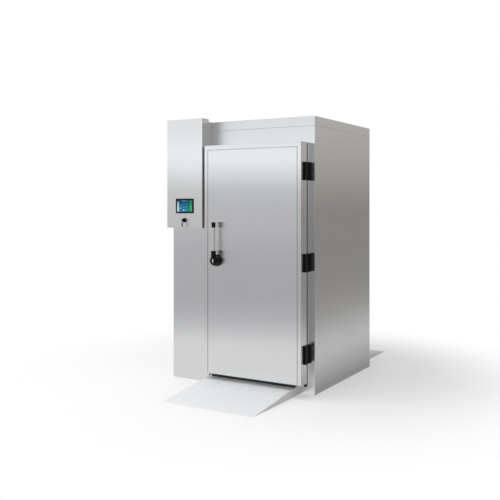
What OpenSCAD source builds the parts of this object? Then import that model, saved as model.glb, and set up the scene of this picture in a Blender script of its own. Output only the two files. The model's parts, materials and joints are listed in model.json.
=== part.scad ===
// Roll-in blast chiller, pass-through: an insulated steel cabinet with a hinged door and a ramp at the
// front and at the back, a control box on a shallow column, and a fan-cooled evaporator inside.
// Millimetres, +Z up. The origin is on the floor under the middle of the cabinet; the front faces -Y.

/* [Cabinet] */
// Width of the cabinet
cabinet_w = 1475; // [1440:5:1700]
// Depth of the cabinet
cabinet_d = 1291; // [1150:1:1600]
// Height of the cabinet
cabinet_h = 2430; // [2330:5:2600]
// Thickness of the side, front and rear wall panels
wall_t = 100; // [80:1:110]
// Thickness of the ceiling panel
ceiling_t = 85; // [70:1:110]
// Thickness of the floor panel, which is the height of the ramps
floor_t = 84; // [70:1:100]
// Sheet thickness of the panel skins
skin_t = 1; // [0.8:0.1:1.5]
// Width of the folded edge of a panel skin
skin_return = 18; // [12:1:25]

/* [Doorway and frame] */
// Height of the wall above the doorways
head_h = 205; // [150:5:300]
// How far the frame and the leaf reach past the doorway on the handle side
lap_handle = 52; // [46:1:60]
// How far the frame and the leaf reach past the doorway on the hinge side
lap_hinge = 104; // [90:1:120]
// How far the frame and the leaf reach past the top of the doorway
lap_top = 56; // [45:1:70]
// Distance from the frame to the right side of the cabinet
frame_inset = 38; // [30:1:60]
// How far the door frame stands out of the wall
frame_d = 67; // [55:1:80]
// Sheet thickness of the door frame and its lining
frame_sheet = 2; // [1.5:0.5:3]

/* [Door leaf] */
// Thickness of the door leaf
leaf_t = 111; // [100:1:120]
// Height of the leaf's lower edge above the chamber floor
leaf_lift = 36; // [30:1:45]
// Width of the raised rim at the sides of the leaf
rim_side = 34; // [25:1:45]
// Width of the raised rim at the top of the leaf
rim_top = 41; // [25:1:55]
// Width of the groove beside the rim
groove_w = 5; // [3:0.5:8]
// Depth of the groove beside the rim
groove_d = 4; // [2:0.5:6]
// Depth of the inner pan of the leaf
liner_d = 15; // [12:1:20]
// Thickness of the magnetic gasket between leaf and frame
gasket_t = 16; // [12:1:20]
// Width of the gasket
gasket_w = 22; // [16:1:26]
// Distance of the gasket from the edge of the leaf
gasket_inset = 6; // [4:1:12]
// Thickness of the sweep seal under the leaf
sweep_t = 14; // [8:1:20]
// Distance of the sweep seal from the front of the leaf
sweep_setback = 84; // [70:1:90]
// Distance of the sweep seal from the leaf's edge on the handle side
sweep_end = 26; // [10:1:40]

/* [Hinges] */
// Height of a hinge
hinge_h = 157; // [130:1:180]
// Length of a hinge's half on the leaf
leaf_block_l = 68; // [50:1:90]
// Length of a hinge's half on the frame
frame_block_l = 47; // [40:1:50]
// How far a hinge stands out of the side of the leaf
hinge_proud = 20; // [18:1:24]
// Distance of the outer hinges' centres from the ends of the leaf
hinge_end = 250; // [200:5:350]
// Radius of a hinge pin
pin_r = 5; // [4:0.5:6]
// Radial clearance of the hinge pins in their knuckles
pin_play = 0.05; // [0.02:0.01:0.1]

/* [Handle] */
// Distance of the handle's axis from the edge of the leaf
handle_in = 138; // [120:1:160]
// Height of the handle's axis above the floor
handle_z = 1152; // [1000:1:1250]
// Radius of the base plate
plate_r = 53; // [50:1:60]
// Thickness of the base plate
plate_t = 12; // [8:1:16]
// Radius of the hub
hub_r = 47; // [40:1:49]
// How far the hub stands out of the leaf
hub_d = 72; // [66:1:80]
// Distance of the handle's bar from the leaf
bar_off = 59; // [56:1:66]
// Radius of the bar
bar_r = 14; // [10:0.5:16]
// Wall of the bar, which is a tube
bar_wall = 2; // [1:0.5:3]
// Radius of the sleeve that holds the bar
sleeve_r = 22.5; // [19:0.5:25]
// Height of the top of the sleeve above the handle's axis
sleeve_top = 90; // [80:1:110]
// Length of the handle from its axis to the top of the cap
lever_len = 347; // [260:1:400]
// Length of the cap
cap_len = 48; // [30:1:60]
// Radius of the cap
cap_r = 18.5; // [18:0.5:22]
// Radius of the spindle through the leaf
spindle_r = 8; // [6:0.5:9]

/* [Ramps] */
// How far a ramp reaches in front of the cabinet
ramp_reach = 826; // [600:1:1000]
// How far a ramp reaches past the doorway on the handle side
ramp_lap = 57; // [40:1:60]
// Sheet thickness of the ramps
ramp_sheet = 3; // [2:0.5:5]

/* [Column and control box] */
// Width of the column
column_w = 408; // [380:1:450]
// Gap between the column and the leaf
column_gap = 43; // [30:1:60]
// How far the column stands out of the front wall
column_d = 58; // [45:1:70]
// Gap between the column and the floor
column_foot = 8; // [3:1:20]
// Sheet thickness of the column, the control box and its cover
cover_sheet = 1.5; // [1:0.5:2]
// Depth of the control box with its cover
control_d = 110; // [100:1:130]
// Height of the control box
control_h = 1016; // [850:1:1100]
// How far the control box reaches above the cabinet
control_rise = 25; // [0:1:60]
// How far the control box stays inside the column's left side
control_inset = 8; // [8:1:12]
// Depth of the hinged cover
cover_d = 24; // [20:1:30]

/* [Display and key switch] */
// Width of the display bezel
bezel_w = 203; // [160:1:220]
// Height of the display bezel
bezel_h = 137; // [100:1:150]
// How far the bezel stands out of the cover
bezel_proud = 5; // [3:1:8]
// Width of the bezel's border
bezel_border = 15; // [10:1:18]
// Distance of the bezel from the right side of the control box
bezel_side = 95; // [85:1:110]
// Height of the bezel's lower edge above the bottom of the control box
bezel_z = 137; // [110:1:160]
// Height of the key switch above the bottom of the control box
key_z = 72; // [60:1:80]
// Distance of the key switch from the right side of the control box
key_side = 198; // [150:1:230]
// Radius of the key switch's collar
key_r = 21; // [15:1:24]

/* [Evaporator and fans] */
// Distance of the fan panel from the doorway
fan_panel_gap = 13; // [10:1:20]
// Sheet thickness of the fan panel
fan_sheet = 2; // [1.5:0.5:3]
// Radius of a fan rotor
fan_r = 205; // [160:1:230]
// Clearance between rotor and ring
fan_gap = 8; // [5:1:12]
// Number of fan blades
fan_blades = 7; // [3:1:9]
// Width of the evaporator coil
coil_w = 180; // [120:1:190]
// Room at each end of the evaporator coil
coil_end = 95.5; // [85:0.5:200]
// Height of the evaporator coil
coil_h = 1860; // [1500:1:1900]
// Number of fins
coil_fins = 30; // [12:1:40]
// Number of tube rows up the coil
coil_rows = 16; // [12:2:18]
// Radius of the evaporator tubes
tube_r = 8; // [6:0.5:10]
// Outer radius of the drain pipe
drain_r = 16; // [12:1:20]
// Outer radius of the suction pipe
suction_r = 17.5; // [12:0.5:20]
// Outer radius of the liquid pipe
liquid_r = 8; // [5:0.5:10]
// Length of the pipe ends outside the cabinet
pipe_stub = 45; // [30:1:60]

/* [Chamber fittings] */
// Heights of the bumper rails above the chamber floor
rail_z = [180, 860];
// Height of a bumper rail
rail_h = 60; // [40:1:80]
// How far a bumper rail stands off the wall
rail_off = 50; // [35:1:70]
// Height of the wheel guide on the floor
guide_h = 60; // [40:1:90]
// Length of the ceiling light
light_l = 600; // [400:1:650]

/* [Hidden] */
$fn = 64;
gap = 0.3;      // between pieces that lie on each other and move apart, or that are curved
over = 1;       // how far a cutting shape runs past the face it cuts

// Cabinet
right = cabinet_w / 2;
left = -right;
front = -cabinet_d / 2;
back = -front;
wall_h = cabinet_h - ceiling_t;
inner_l = left + wall_t;
inner_r = right - wall_t;
inner_f = front + wall_t;
inner_b = back - wall_t;

// Doorway, frame and leaf, all at the front
column_r = left + column_w;
leaf_l = column_r + column_gap;
leaf_r = right - frame_inset;
door_l = leaf_l + lap_handle;
door_r = leaf_r - lap_hinge;
door_top = wall_h - head_h;
leaf_z0 = floor_t + leaf_lift;
leaf_z1 = door_top + lap_top;
hinge_z = [leaf_z0 + hinge_end, (leaf_z0 + leaf_z1) / 2, leaf_z1 - hinge_end];
frame_f = front - frame_d;
leaf_b = frame_f - gasket_t;
leaf_f = leaf_b - leaf_t;
skin_d = leaf_t - liner_d;

// Hinge: the pin stands in the middle of the part that sticks out, between leaf and frame
pivot_x = leaf_r + hinge_proud / 2;
pivot_y = frame_f - gasket_t / 2;
barrel_r = hinge_proud / 2 - gap;

// Handle
hub_x = leaf_l + handle_in;
hub_base = leaf_f - plate_t;
bar_y = leaf_f - bar_off;
nose_t = 8;
nose_w = 22;
nose_y = leaf_b + 6;
nose_len = hub_x - door_l - 18;
flange_r = 16;
knob_neck = 8;
knob_neck_r = 10;
knob_r = 24;
knob_h = 16;

// Column and control box
column_f = front - column_d;
control_r = column_r;
control_l = left + control_inset;
control_f = column_f - control_d;
cover_b = control_f + cover_d;
control_top = cabinet_h + control_rise;
control_z = control_top - control_h;
knuckle_r = 3.6;
knuckle_pin_r = 1.8;
knuckle_in = 5.5;
cover_pivot_x = control_l + knuckle_in;
cover_pivot_y = cover_b + gap / 2;
cover_slit = 2 * knuckle_in;
bezel_r = control_r - bezel_side;
bezel_l = bezel_r - bezel_w;
bezel_bottom = control_z + bezel_z;
module_d = 26;
module_in = 6;
key_x = control_r - key_side;
key_h = control_z + key_z;

// Evaporator compartment
fan_x = door_l - fan_panel_gap;
coil_off = 30;
coil_lift = 96;
coil_x0 = inner_l + coil_off;
coil_x1 = coil_x0 + coil_w;
coil_z0 = floor_t + coil_lift;
coil_l = cabinet_d - 2 * (wall_t + coil_end);
coil_pitch = coil_h / coil_rows;
post_w = 30;
post_d = 40;
post_x = fan_x - fan_sheet - gap - post_d;
post_y = cabinet_d / 2 - wall_t - post_w - 2;
panel_z0 = floor_t + guide_h + 10;
panel_z1 = wall_h - 60;
panel_y = post_y + post_w - 6;
lug_r = 6;
fan_pivot_x = fan_x + lug_r + gap;
fan_pivot_y = post_y + post_w - 8;
fan_pitch = (panel_z1 - panel_z0) / 3;
function fan_z(i) = panel_z0 + fan_pitch * (i + 0.5);
ring_r = min(fan_r, fan_pitch / 2 - fan_gap - 20, panel_y - 60) + fan_gap;
rotor_r = ring_r - fan_gap;
motor_r = 48;
motor_l = 70;
motor_x = fan_x - 42;
rotor_x = motor_x - gap;
rotor_l = 52;
shaft_r = 6;

pan_z0 = floor_t + 40;
pan_h = 44;
pan_end = 15;
end_step = 1;
end_off = 5;
drain_x = coil_x0 + coil_w / 2;
drain_z = pan_z0 + drain_r + 2;
suction_x = coil_x0 + 40;
liquid_x = suction_x + 60;
pipe_y = coil_l / 2 - 60;

module box(lo, hi) translate(lo) cube(hi - lo);

module at_rear() mirror([0, 1, 0]) children();

// The rear door is the front one turned half round about the doorway, so its hinges are on the left
module turned_to_rear() translate([door_l + door_r, 0, 0]) rotate([0, 0, 180]) children();

// A cylinder along Y from y0 to y1
module rod_y(x, z, y0, y1, r)
    translate([x, y0, z]) rotate([-90, 0, 0]) cylinder(r = r, h = y1 - y0);

// A cylinder along X from x0 to x1
module rod_x(y, z, x0, x1, r)
    translate([x0, y, z]) rotate([0, 90, 0]) cylinder(r = r, h = x1 - x0);

// A cylinder along Z from z0 to z1
module rod_z(x, y, z0, z1, r)
    translate([x, y, z0]) cylinder(r = r, h = z1 - z0);

// A rectangle centred on the origin with round corners
module rounded_rect(w, h, r) {
    square([w - 2 * r, h], center = true);
    square([w, h - 2 * r], center = true);
    for (sx = [-1, 1], sy = [-1, 1])
        translate([sx * (w / 2 - r), sy * (h / 2 - r)]) circle(r = r);
}

// A plate in the XZ plane with round corners, from y0 to y1
module rounded_plate(x, z, y0, y1, w, h, r)
    translate([x, y1, z]) rotate([90, 0, 0]) linear_extrude(y1 - y0) rounded_rect(w, h, r);

/* Insulated panels: a box from lo to hi whose normal is axis a and whose outside is on side s. The outer
   skin is a pan that wraps the edges, the inner skin is a shallow pan inside it, and the core fills both. */
function slab(v, a, s, cut, keep_side) = [for (i = [0:2]) (i == a && s == keep_side) ? cut : v[i]];

module pan(lo, hi, a, s, depth, t) {
    slo = slab(lo, a, s, hi[a] - depth, 1);
    shi = slab(hi, a, s, lo[a] + depth, -1);
    clo = [for (i = [0:2]) (i == a && s > 0) ? slo[i] - over : slo[i] + t];
    chi = [for (i = [0:2]) (i == a && s < 0) ? shi[i] + over : shi[i] - t];
    difference() {
        box(slo, shi);
        box(clo, chi);
    }
}

function inset(v, a, t) = [for (i = [0:2]) i == a ? v[i] : v[i] + t];

module panel_skins(p, a, s) {
    pan(p[0], p[1], a, s, p[1][a] - p[0][a], skin_t);
    pan(inset(p[0], a, skin_t), inset(p[1], a, -skin_t), a, -s, skin_return, skin_t);
}

module panel_core(p, a, s) {
    lo = inset(p[0], a, skin_t);
    hi = inset(p[1], a, -skin_t);
    t = [skin_t, skin_t, skin_t];
    box(lo + t, hi - t);
    box([for (i = [0:2]) i == a ? lo[i] + (s > 0 ? skin_return : skin_t) : lo[i]],
        [for (i = [0:2]) i == a ? hi[i] - (s < 0 ? skin_return : skin_t) : hi[i]]);
}

FLOOR = [[inner_l, inner_f, 0], [inner_r, inner_b, floor_t]];
CEILING = [[left, front, wall_h], [right, back, cabinet_h]];
LEFT_WALL = [[left, inner_f, 0], [inner_l, inner_b, wall_h]];
RIGHT_WALL = [[inner_r, inner_f, 0], [right, inner_b, wall_h]];
FRONT_WALL = [[left, front, 0], [right, inner_f, wall_h]];

// The hole in a wall panel that takes the lining of the door frame
module wall_hole()
    box([door_l - frame_sheet, front - over, floor_t - frame_sheet],
        [door_r + frame_sheet, inner_f + over, door_top + frame_sheet]);

module drain_hole() rod_y(drain_x, drain_z, inner_b - over, back + over, drain_r - end_step + gap);

module roof_holes() {
    rod_z(suction_x, pipe_y, wall_h - over, cabinet_h + over, suction_r - end_step + gap);
    rod_z(liquid_x, pipe_y, wall_h - over, cabinet_h + over, liquid_r - end_step + gap);
    rod_z(gland_x, gland_y, wall_h - over, cabinet_h + over, gland_thread_r + gap);
}

module floor_skin() color("gainsboro") panel_skins(FLOOR, 2, -1);

module ceiling_skin() color("gainsboro") difference() {
    panel_skins(CEILING, 2, 1);
    roof_holes();
}

module left_wall_skin() color("gainsboro") panel_skins(LEFT_WALL, 0, -1);

module right_wall_skin() color("gainsboro") panel_skins(RIGHT_WALL, 0, 1);

module front_wall_skin() color("gainsboro") difference() {
    panel_skins(FRONT_WALL, 1, -1);
    wall_hole();
}

module rear_wall_skin() color("gainsboro") difference() {
    at_rear() front_wall_skin();
    drain_hole();
}

module front_wall_core() difference() {
    panel_core(FRONT_WALL, 1, -1);
    wall_hole();
}

module panel_cores() color("khaki") {
    panel_core(FLOOR, 2, -1);
    difference() {
        panel_core(CEILING, 2, 1);
        roof_holes();
    }
    panel_core(LEFT_WALL, 0, -1);
    panel_core(RIGHT_WALL, 0, 1);
    front_wall_core();
    difference() {
        at_rear() front_wall_core();
        drain_hole();
    }
}

/* Door frame: a three-sided surround folded from sheet, open towards the wall, and the lining of the
   doorway with its threshold. */
module frame_ring(lap_l, lap_r, lap_t, z0, y0, y1) difference() {
    box([door_l - lap_l, y0, z0], [door_r + lap_r, y1, door_top + lap_t]);
    box([door_l, y0 - over, z0 - over], [door_r, y1 + over, door_top]);
}

module door_frame() color("silver") {
    difference() {
        frame_ring(lap_handle, lap_hinge, lap_top, floor_t + gap, frame_f, front);
        difference() {
            frame_ring(lap_handle - frame_sheet, lap_hinge - frame_sheet, lap_top - frame_sheet,
                floor_t + gap + frame_sheet, frame_f + frame_sheet, front + over);
            box([door_l - frame_sheet, frame_f, 0],
                [door_r + frame_sheet, front + over, door_top + frame_sheet]);
        }
    }
    difference() {
        box([door_l - frame_sheet, front, floor_t - frame_sheet],
            [door_r + frame_sheet, inner_f, door_top + frame_sheet]);
        box([door_l, front - over, floor_t], [door_r, inner_f + over, door_top]);
    }
}

module front_door_frame() door_frame();
module rear_door_frame() turned_to_rear() door_frame();

/* Hinges. Seen from above, each half is a block that slopes down to the barrel between them, so that
   the leaf clears the frame when it is wide open. */
slope = hinge_proud;
hinge_edge = 4;
hinge_round = 9;

// Outline of one half seen from above, with the barrel at the origin and the block along +Y
module hinge_outline(l) {
    start = hinge_proud / 2 + gap;
    polygon([
        [-hinge_proud / 2, start], [hinge_proud / 2, start + slope],
        [hinge_proud / 2, l - hinge_edge], [hinge_proud / 2 - hinge_edge, l], [-hinge_proud / 2, l],
    ]);
}

// One half, with its far corners round as seen from the side
module hinge_half(l) intersection() {
    linear_extrude(hinge_h) hinge_outline(l);
    translate([0, 0, hinge_h / 2]) rotate([90, 0, 90])
        linear_extrude(hinge_proud + 2 * over, center = true) rounded_rect(2 * l, hinge_h, hinge_round);
}

// The web that joins a knuckle to its block
module hinge_web() polygon([
    [-hinge_proud / 2, 0], [-hinge_proud / 2, hinge_proud / 2 + gap + over],
    [over - hinge_proud / 2, hinge_proud / 2 + gap + over], [barrel_r * 0.9, 0],
]);

module frame_hinge(z) {
    half = hinge_h / 2;
    translate([pivot_x, pivot_y, z - half]) {
        hinge_half(frame_block_l + gasket_t / 2);
        linear_extrude(half - gap) hinge_web();
        cylinder(r = barrel_r, h = half - gap);
        cylinder(r = pin_r, h = hinge_h - 12);
    }
}

module frame_hinge_blocks() color("dimgray") {
    for (z = hinge_z) frame_hinge(z);
    turned_to_rear() for (z = hinge_z) frame_hinge(z);
}

module leaf_hinge(z) {
    half = hinge_h / 2;
    translate([pivot_x, pivot_y, z - half]) difference() {
        union() {
            mirror([0, 1, 0]) hinge_half(leaf_block_l + gasket_t / 2);
            translate([0, 0, half]) mirror([0, 1, 0]) linear_extrude(half) hinge_web();
            translate([0, 0, half]) cylinder(r = barrel_r, h = half);
        }
        translate([0, 0, half - over]) cylinder(r = pin_r + pin_play, h = half + over - 8);
    }
}

module front_hinge_leaves() color("dimgray") for (z = hinge_z) leaf_hinge(z);
module rear_hinge_leaves() turned_to_rear() front_hinge_leaves();

/* Keeper: a steel angle on the lining of the doorway. The nose on the spindle turns in front of it and
   pushes the leaf off its gasket. */
keeper_reach = 30;
keeper_h = 60;
keeper_t = 3;
keeper_y = nose_y + nose_t + 2 * gap;

module keeper() {
    box([door_l, keeper_y, handle_z - keeper_h / 2],
        [door_l + keeper_reach, keeper_y + keeper_t, handle_z + keeper_h / 2]);
    box([door_l, keeper_y, handle_z - keeper_h / 2],
        [door_l + keeper_t, keeper_y + keeper_reach, handle_z + keeper_h / 2]);
}

module door_keepers() color("silver") {
    keeper();
    turned_to_rear() keeper();
}

/* Leaf. The groove runs up both sides and across the top, and is folded into the outer skin. */
module groove_path(side_l, side_t, w, y0, y1) difference() {
    box([leaf_l + side_l, y0, leaf_z0 - over], [leaf_r - side_l, y1, leaf_z1 - side_t]);
    box([leaf_l + side_l + w, y0 - over, leaf_z0 - 2 * over],
        [leaf_r - side_l - w, y1 + over, leaf_z1 - side_t - w]);
}

module groove_cut() groove_path(rim_side, rim_top, groove_w, leaf_f - over, leaf_f + groove_d);

module groove_fold() intersection() {
    groove_path(rim_side - skin_t, rim_top - skin_t, groove_w + 2 * skin_t,
        leaf_f, leaf_f + groove_d + skin_t);
    box([leaf_l, leaf_f, leaf_z0], [leaf_r, leaf_b, leaf_z1]);
}

LEAF = [[leaf_l, leaf_f, leaf_z0], [leaf_r, leaf_b, leaf_z1]];

module spindle_hole(r) rod_y(hub_x, handle_z, hub_base - over, leaf_b + over, r);

module door_skin() color("lightgray") difference() {
    union() {
        pan(LEAF[0], LEAF[1], 1, -1, skin_d, skin_t);
        groove_fold();
    }
    groove_cut();
    spindle_hole(spindle_r + over);
}

module door_liner() color("gainsboro") difference() {
    pan([leaf_l, leaf_b - liner_d, leaf_z0], [leaf_r, leaf_b, leaf_z1], 1, 1, liner_d, skin_t);
    spindle_hole(spindle_r + over);
}

module door_core() color("khaki") difference() {
    box(LEAF[0] + [skin_t, skin_t, skin_t], LEAF[1] - [skin_t, skin_t, skin_t]);
    groove_fold();
    spindle_hole(spindle_r + over);
}

/* Gasket: a base strip on the leaf and a narrower bulb that meets the frame, on three sides. Its sides hang
   past the leaf, down to the foot of the frame. */
module gasket_ring(inset, w, y0, y1) difference() {
    box([leaf_l + inset, y0, gasket_z0], [leaf_r - inset, y1, leaf_z1 - inset]);
    box([leaf_l + inset + w, y0 - over, gasket_z0 - over],
        [leaf_r - inset - w, y1 + over, leaf_z1 - inset - w]);
}

gasket_base = 4;
gasket_z0 = floor_t + 2;

module door_gasket() color("dimgray") {
    gasket_ring(gasket_inset, gasket_w, leaf_b, leaf_b + gasket_base);
    gasket_ring(gasket_inset + gasket_w / 4, gasket_w / 2, leaf_b, frame_f - gap);
}

// The sweep seal hangs just above the ramp, which is highest under its back face, and ends with the doorway
sweep_foot = 6;
sweep_f = leaf_f + sweep_setback;
sweep_z = max(0, floor_t * (1 - (front - sweep_f - sweep_t) / ramp_reach)) + 2 * gap;

module door_sweep() color("black") {
    box([leaf_l + sweep_end, sweep_f, sweep_z], [door_r, sweep_f + sweep_t, leaf_z0]);
    box([leaf_l + sweep_end, sweep_f - sweep_foot, leaf_z0 - sweep_foot],
        [door_r, sweep_f + sweep_t + sweep_foot, leaf_z0]);
}

/* Handle: a fixed base plate, and a hub with sleeve, lock insert, bar and cap that turns with the
   spindle. */
module handle_plate() color("black") difference() {
    translate([hub_x, leaf_f, handle_z]) rotate([90, 0, 0]) rotate_extrude() {
        square([plate_r, plate_t - 4]);
        square([plate_r - 4, plate_t]);
        translate([plate_r - 4, plate_t - 4]) circle(r = 4);
    }
    spindle_hole(spindle_r + pin_play);
}

hub_h = hub_d - plate_t - gap;
hub_front = leaf_f - hub_d;
dome_z = hub_h - 36;
spindle_in = 20;
bar_foot = sleeve_top - 40;
bar_end = lever_len - 10;
cap_round = 5;
lock_r = 8.5;
lock_w = 10;
lock_h = 33;
lock_in = 24;
lock_proud = 1.5;
sleeve_foot = lock_h / 2 + 4;

// Outline of a lock insert: a round plug with a narrower body below it
module lock_outline(extra) {
    translate([0, lock_h / 2 - lock_r]) circle(r = lock_r + extra);
    translate([-lock_w / 2 - extra, -lock_h / 2 - extra])
        square([lock_w + 2 * extra, lock_h - lock_r + extra]);
}

module at_hub_front(depth) translate([hub_x, hub_front + depth, handle_z]) rotate([90, 0, 0]) children();

module handle_hub() color("black") difference() {
    union() {
        translate([hub_x, hub_base - gap, handle_z]) rotate([90, 0, 0]) rotate_extrude() intersection() {
            union() {
                square([hub_r, dome_z]);
                translate([0, dome_z]) circle(r = hub_r);
            }
            square([hub_r, hub_h]);
        }
        rod_z(hub_x, bar_y, handle_z + sleeve_foot, handle_z + sleeve_top, sleeve_r);
    }
    rod_z(hub_x, bar_y, handle_z + bar_foot, handle_z + sleeve_top + over, bar_r);
    at_hub_front(lock_in) linear_extrude(lock_in + over) lock_outline(0.2);
    rod_y(hub_x, handle_z, hub_base - spindle_in, leaf_f, spindle_r + pin_play);
}

module handle_lock() color("silver") difference() {
    at_hub_front(lock_in) linear_extrude(lock_in + lock_proud) lock_outline(0);
    at_hub_front(2) translate([-1, lock_h / 2 - lock_r - 5, 0]) cube([2, 10, lock_in]);
}

module handle_bar() color("silver") difference() {
    rod_z(hub_x, bar_y, handle_z + bar_foot, handle_z + bar_end, bar_r);
    rod_z(hub_x, bar_y, handle_z + bar_foot - over, handle_z + bar_end + over, bar_r - bar_wall);
}

module handle_cap() color("black") difference() {
    translate([hub_x, bar_y, handle_z + lever_len - cap_len]) rotate_extrude() {
        square([cap_r, cap_len - cap_round]);
        square([cap_r - cap_round, cap_len]);
        translate([cap_r - cap_round, cap_len - cap_round]) circle(r = cap_round);
    }
    rod_z(hub_x, bar_y, handle_z, handle_z + bar_end, bar_r);
}

// Half outline of a knob of radius r and height h with a rounded rim
module rounded_half(r, h, e) {
    square([r - e, h]);
    translate([0, e]) square([r, h - 2 * e]);
    for (z = [e, h - e]) translate([r - e, z]) circle(r = e);
}

// The spindle carries the nose and, on the inside of the door, the release knob
module spindle() color("silver") {
    neck_y = nose_y + nose_t;
    rod_y(hub_x, handle_z, hub_base - spindle_in, leaf_b + over, spindle_r);
    rod_y(hub_x, handle_z, leaf_b + gap, neck_y, flange_r);
    box([hub_x - nose_w / 2, nose_y, handle_z - nose_len], [hub_x + nose_w / 2, neck_y, handle_z]);
    rod_y(hub_x, handle_z - nose_len, nose_y, neck_y, nose_w / 2);
    rod_y(hub_x, handle_z, neck_y, neck_y + knob_neck, knob_neck_r);
    translate([hub_x, neck_y + knob_neck, handle_z]) rotate([-90, 0, 0])
        rotate_extrude() rounded_half(knob_r, knob_h, cap_round);
}

module front_door_skin() door_skin();
module front_door_liner() door_liner();
module front_door_core() door_core();
module front_door_gasket() door_gasket();
module front_door_sweep() door_sweep();
module front_handle_plate() handle_plate();
module front_handle_hub() handle_hub();
module front_handle_lock() handle_lock();
module front_handle_bar() handle_bar();
module front_handle_cap() handle_cap();
module front_spindle() spindle();
module rear_door_skin() turned_to_rear() door_skin();
module rear_door_liner() turned_to_rear() door_liner();
module rear_door_core() turned_to_rear() door_core();
module rear_door_gasket() turned_to_rear() door_gasket();
module rear_door_sweep() turned_to_rear() door_sweep();
module rear_handle_plate() turned_to_rear() handle_plate();
module rear_handle_hub() turned_to_rear() handle_hub();
module rear_handle_lock() turned_to_rear() handle_lock();
module rear_handle_bar() turned_to_rear() handle_bar();
module rear_handle_cap() turned_to_rear() handle_cap();
module rear_spindle() turned_to_rear() spindle();

/* Ramp: a sloping plate with cheeks, inner ribs and a back plate, folded and welded from sheet. */
module ramp_section(t) polygon([
    [-ramp_reach, 0], [0, floor_t], [0, floor_t - t], [-ramp_reach * (1 - t / floor_t), 0],
]);

module ramp() color("whitesmoke") {
    ramp_l = door_l - ramp_lap;
    translate([ramp_l, front, 0]) rotate([90, 0, 90])
        linear_extrude(door_r - ramp_l) ramp_section(ramp_sheet);
    for (i = [0:4])
        translate([ramp_l + i * (door_r - ramp_l - ramp_sheet) / 4, front, 0])
            rotate([90, 0, 90]) linear_extrude(ramp_sheet) polygon([[-ramp_reach, 0], [0, floor_t], [0, 0]]);
    box([ramp_l, front - ramp_sheet, 0], [door_r, front, floor_t - ramp_sheet * 1.5]);
}

module front_ramp() ramp();
module rear_ramp() at_rear() ramp();

/* Column and control box. */
module column_cover() color("silver") difference() {
    box([left, column_f, column_foot], [column_r, front, cabinet_h]);
    box([left + cover_sheet, column_f + cover_sheet, column_foot + cover_sheet],
        [column_r - cover_sheet, front + over, cabinet_h - cover_sheet]);
}

cover_knuckle_h = 50;
cover_knuckle_end = 60;
function cover_hinge_z(i) =
    control_z + cover_knuckle_end + i * (control_h - 2 * (cover_knuckle_end + cover_knuckle_h));

// The left side of the housing stops short of the cover, so that the cover's edge can turn into the slit
module control_housing() color("silver") {
    difference() {
        pan([control_l, cover_b + gap, control_z], [control_r, column_f, control_top], 1, 1,
            column_f - cover_b - gap, cover_sheet);
        box([control_l - over, cover_b, control_z - over],
            [cover_pivot_x + knuckle_r + over, cover_b + cover_slit, control_top + over]);
    }
    for (i = [0, 1]) {
        z = cover_hinge_z(i);
        rod_z(cover_pivot_x, cover_pivot_y, z, z + cover_knuckle_h, knuckle_r);
        rod_z(cover_pivot_x, cover_pivot_y, z, z + 2 * cover_knuckle_h - 4, knuckle_pin_r);
        box([cover_pivot_x - 1, cover_pivot_y, z],
            [cover_pivot_x + 1, cover_b + cover_slit + 10, z + cover_knuckle_h]);
        box([control_l, cover_b + cover_slit + 2, z],
            [cover_pivot_x, cover_b + cover_slit + 10, z + cover_knuckle_h]);
    }
}

// The left side of the cover is notched beside the knuckles of the housing
module control_cover() color("lightgray") difference() {
    union() {
        pan([control_l, control_f, control_z], [control_r, cover_b, control_top], 1, -1,
            cover_d, cover_sheet);
        for (i = [0, 1]) {
            z = cover_hinge_z(i) + cover_knuckle_h + gap;
            rod_z(cover_pivot_x, cover_pivot_y, z, z + cover_knuckle_h, knuckle_r);
            box([cover_pivot_x - 1, control_f + cover_sheet, z],
                [cover_pivot_x + 1, cover_pivot_y, z + cover_knuckle_h]);
        }
    }
    for (i = [0, 1]) {
        z = cover_hinge_z(i);
        rod_z(cover_pivot_x, cover_pivot_y, z + cover_knuckle_h, z + 2 * cover_knuckle_h - 2,
            knuckle_pin_r + pin_play);
        box([control_l - over, cover_b - knuckle_r - 3, z - over],
            [control_l + cover_sheet + over, cover_b + over, z + cover_knuckle_h + over]);
    }
    box([bezel_l + module_in, control_f - over, bezel_bottom + module_in],
        [bezel_r - module_in, control_f + cover_sheet + over, bezel_bottom + bezel_h - module_in]);
    rod_y(key_x, key_h, control_f - over, control_f + cover_sheet + over, switch_r + 0.2);
}

plate_in = 20;
plate_off = 8;
plate_sheet = 2;
gear_b = column_f - cover_sheet - plate_off - plate_sheet;

module mounting_plate() color("silver") {
    box([control_l + plate_in, gear_b, control_z + plate_in],
        [control_r - plate_in, gear_b + plate_sheet, control_top - plate_in]);
    for (x = [control_l + 2 * plate_in, control_r - 2 * plate_in],
         z = [control_z + 2 * plate_in, control_top - 2 * plate_in])
        rod_y(x, z, gear_b + plate_sheet, column_f - cover_sheet, 6);
}

/* Switchgear on two rails: breakers above, contactors and terminals below, and the controller board. Each
   row gives its distance below the top of the control box, its count, and a unit's width, height, depth. */
gear_l = control_l + 2 * plate_in;
gear_r = control_r - 2 * plate_in;
rail_depth = 8;
rail_strip = 34;
toggle_h = 16;
toggle_d = 3;
breakers = [130, 8, 36, 84, 36];
contactors = [300, 6, 48, 82, 34];
board_side = 20;
board_off = 12;
board_t = 2;
board_top = 400;
board_h = 220;
plug_pitch = 60;
plug_w = 40;
plug_h = 30;
plug_d = 20;
chip_w = 80;
chip_d = 8;

module rail_row(row) {
    z = control_top - row[0];
    face = gear_b - rail_depth - row[4];
    box([gear_l, gear_b - rail_depth, z - rail_strip / 2], [gear_r, gear_b, z + rail_strip / 2]);
    for (i = [0:row[1] - 1]) {
        x = gear_l + 4 + i * row[2];
        box([x + 0.5, face, z - row[3] / 2], [x + row[2] - 0.5, gear_b - rail_depth, z + row[3] / 2]);
        box([x + row[2] * 0.3, face - toggle_d, z - toggle_h / 2],
            [x + row[2] * 0.7, face, z + toggle_h / 2]);
    }
}

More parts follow.
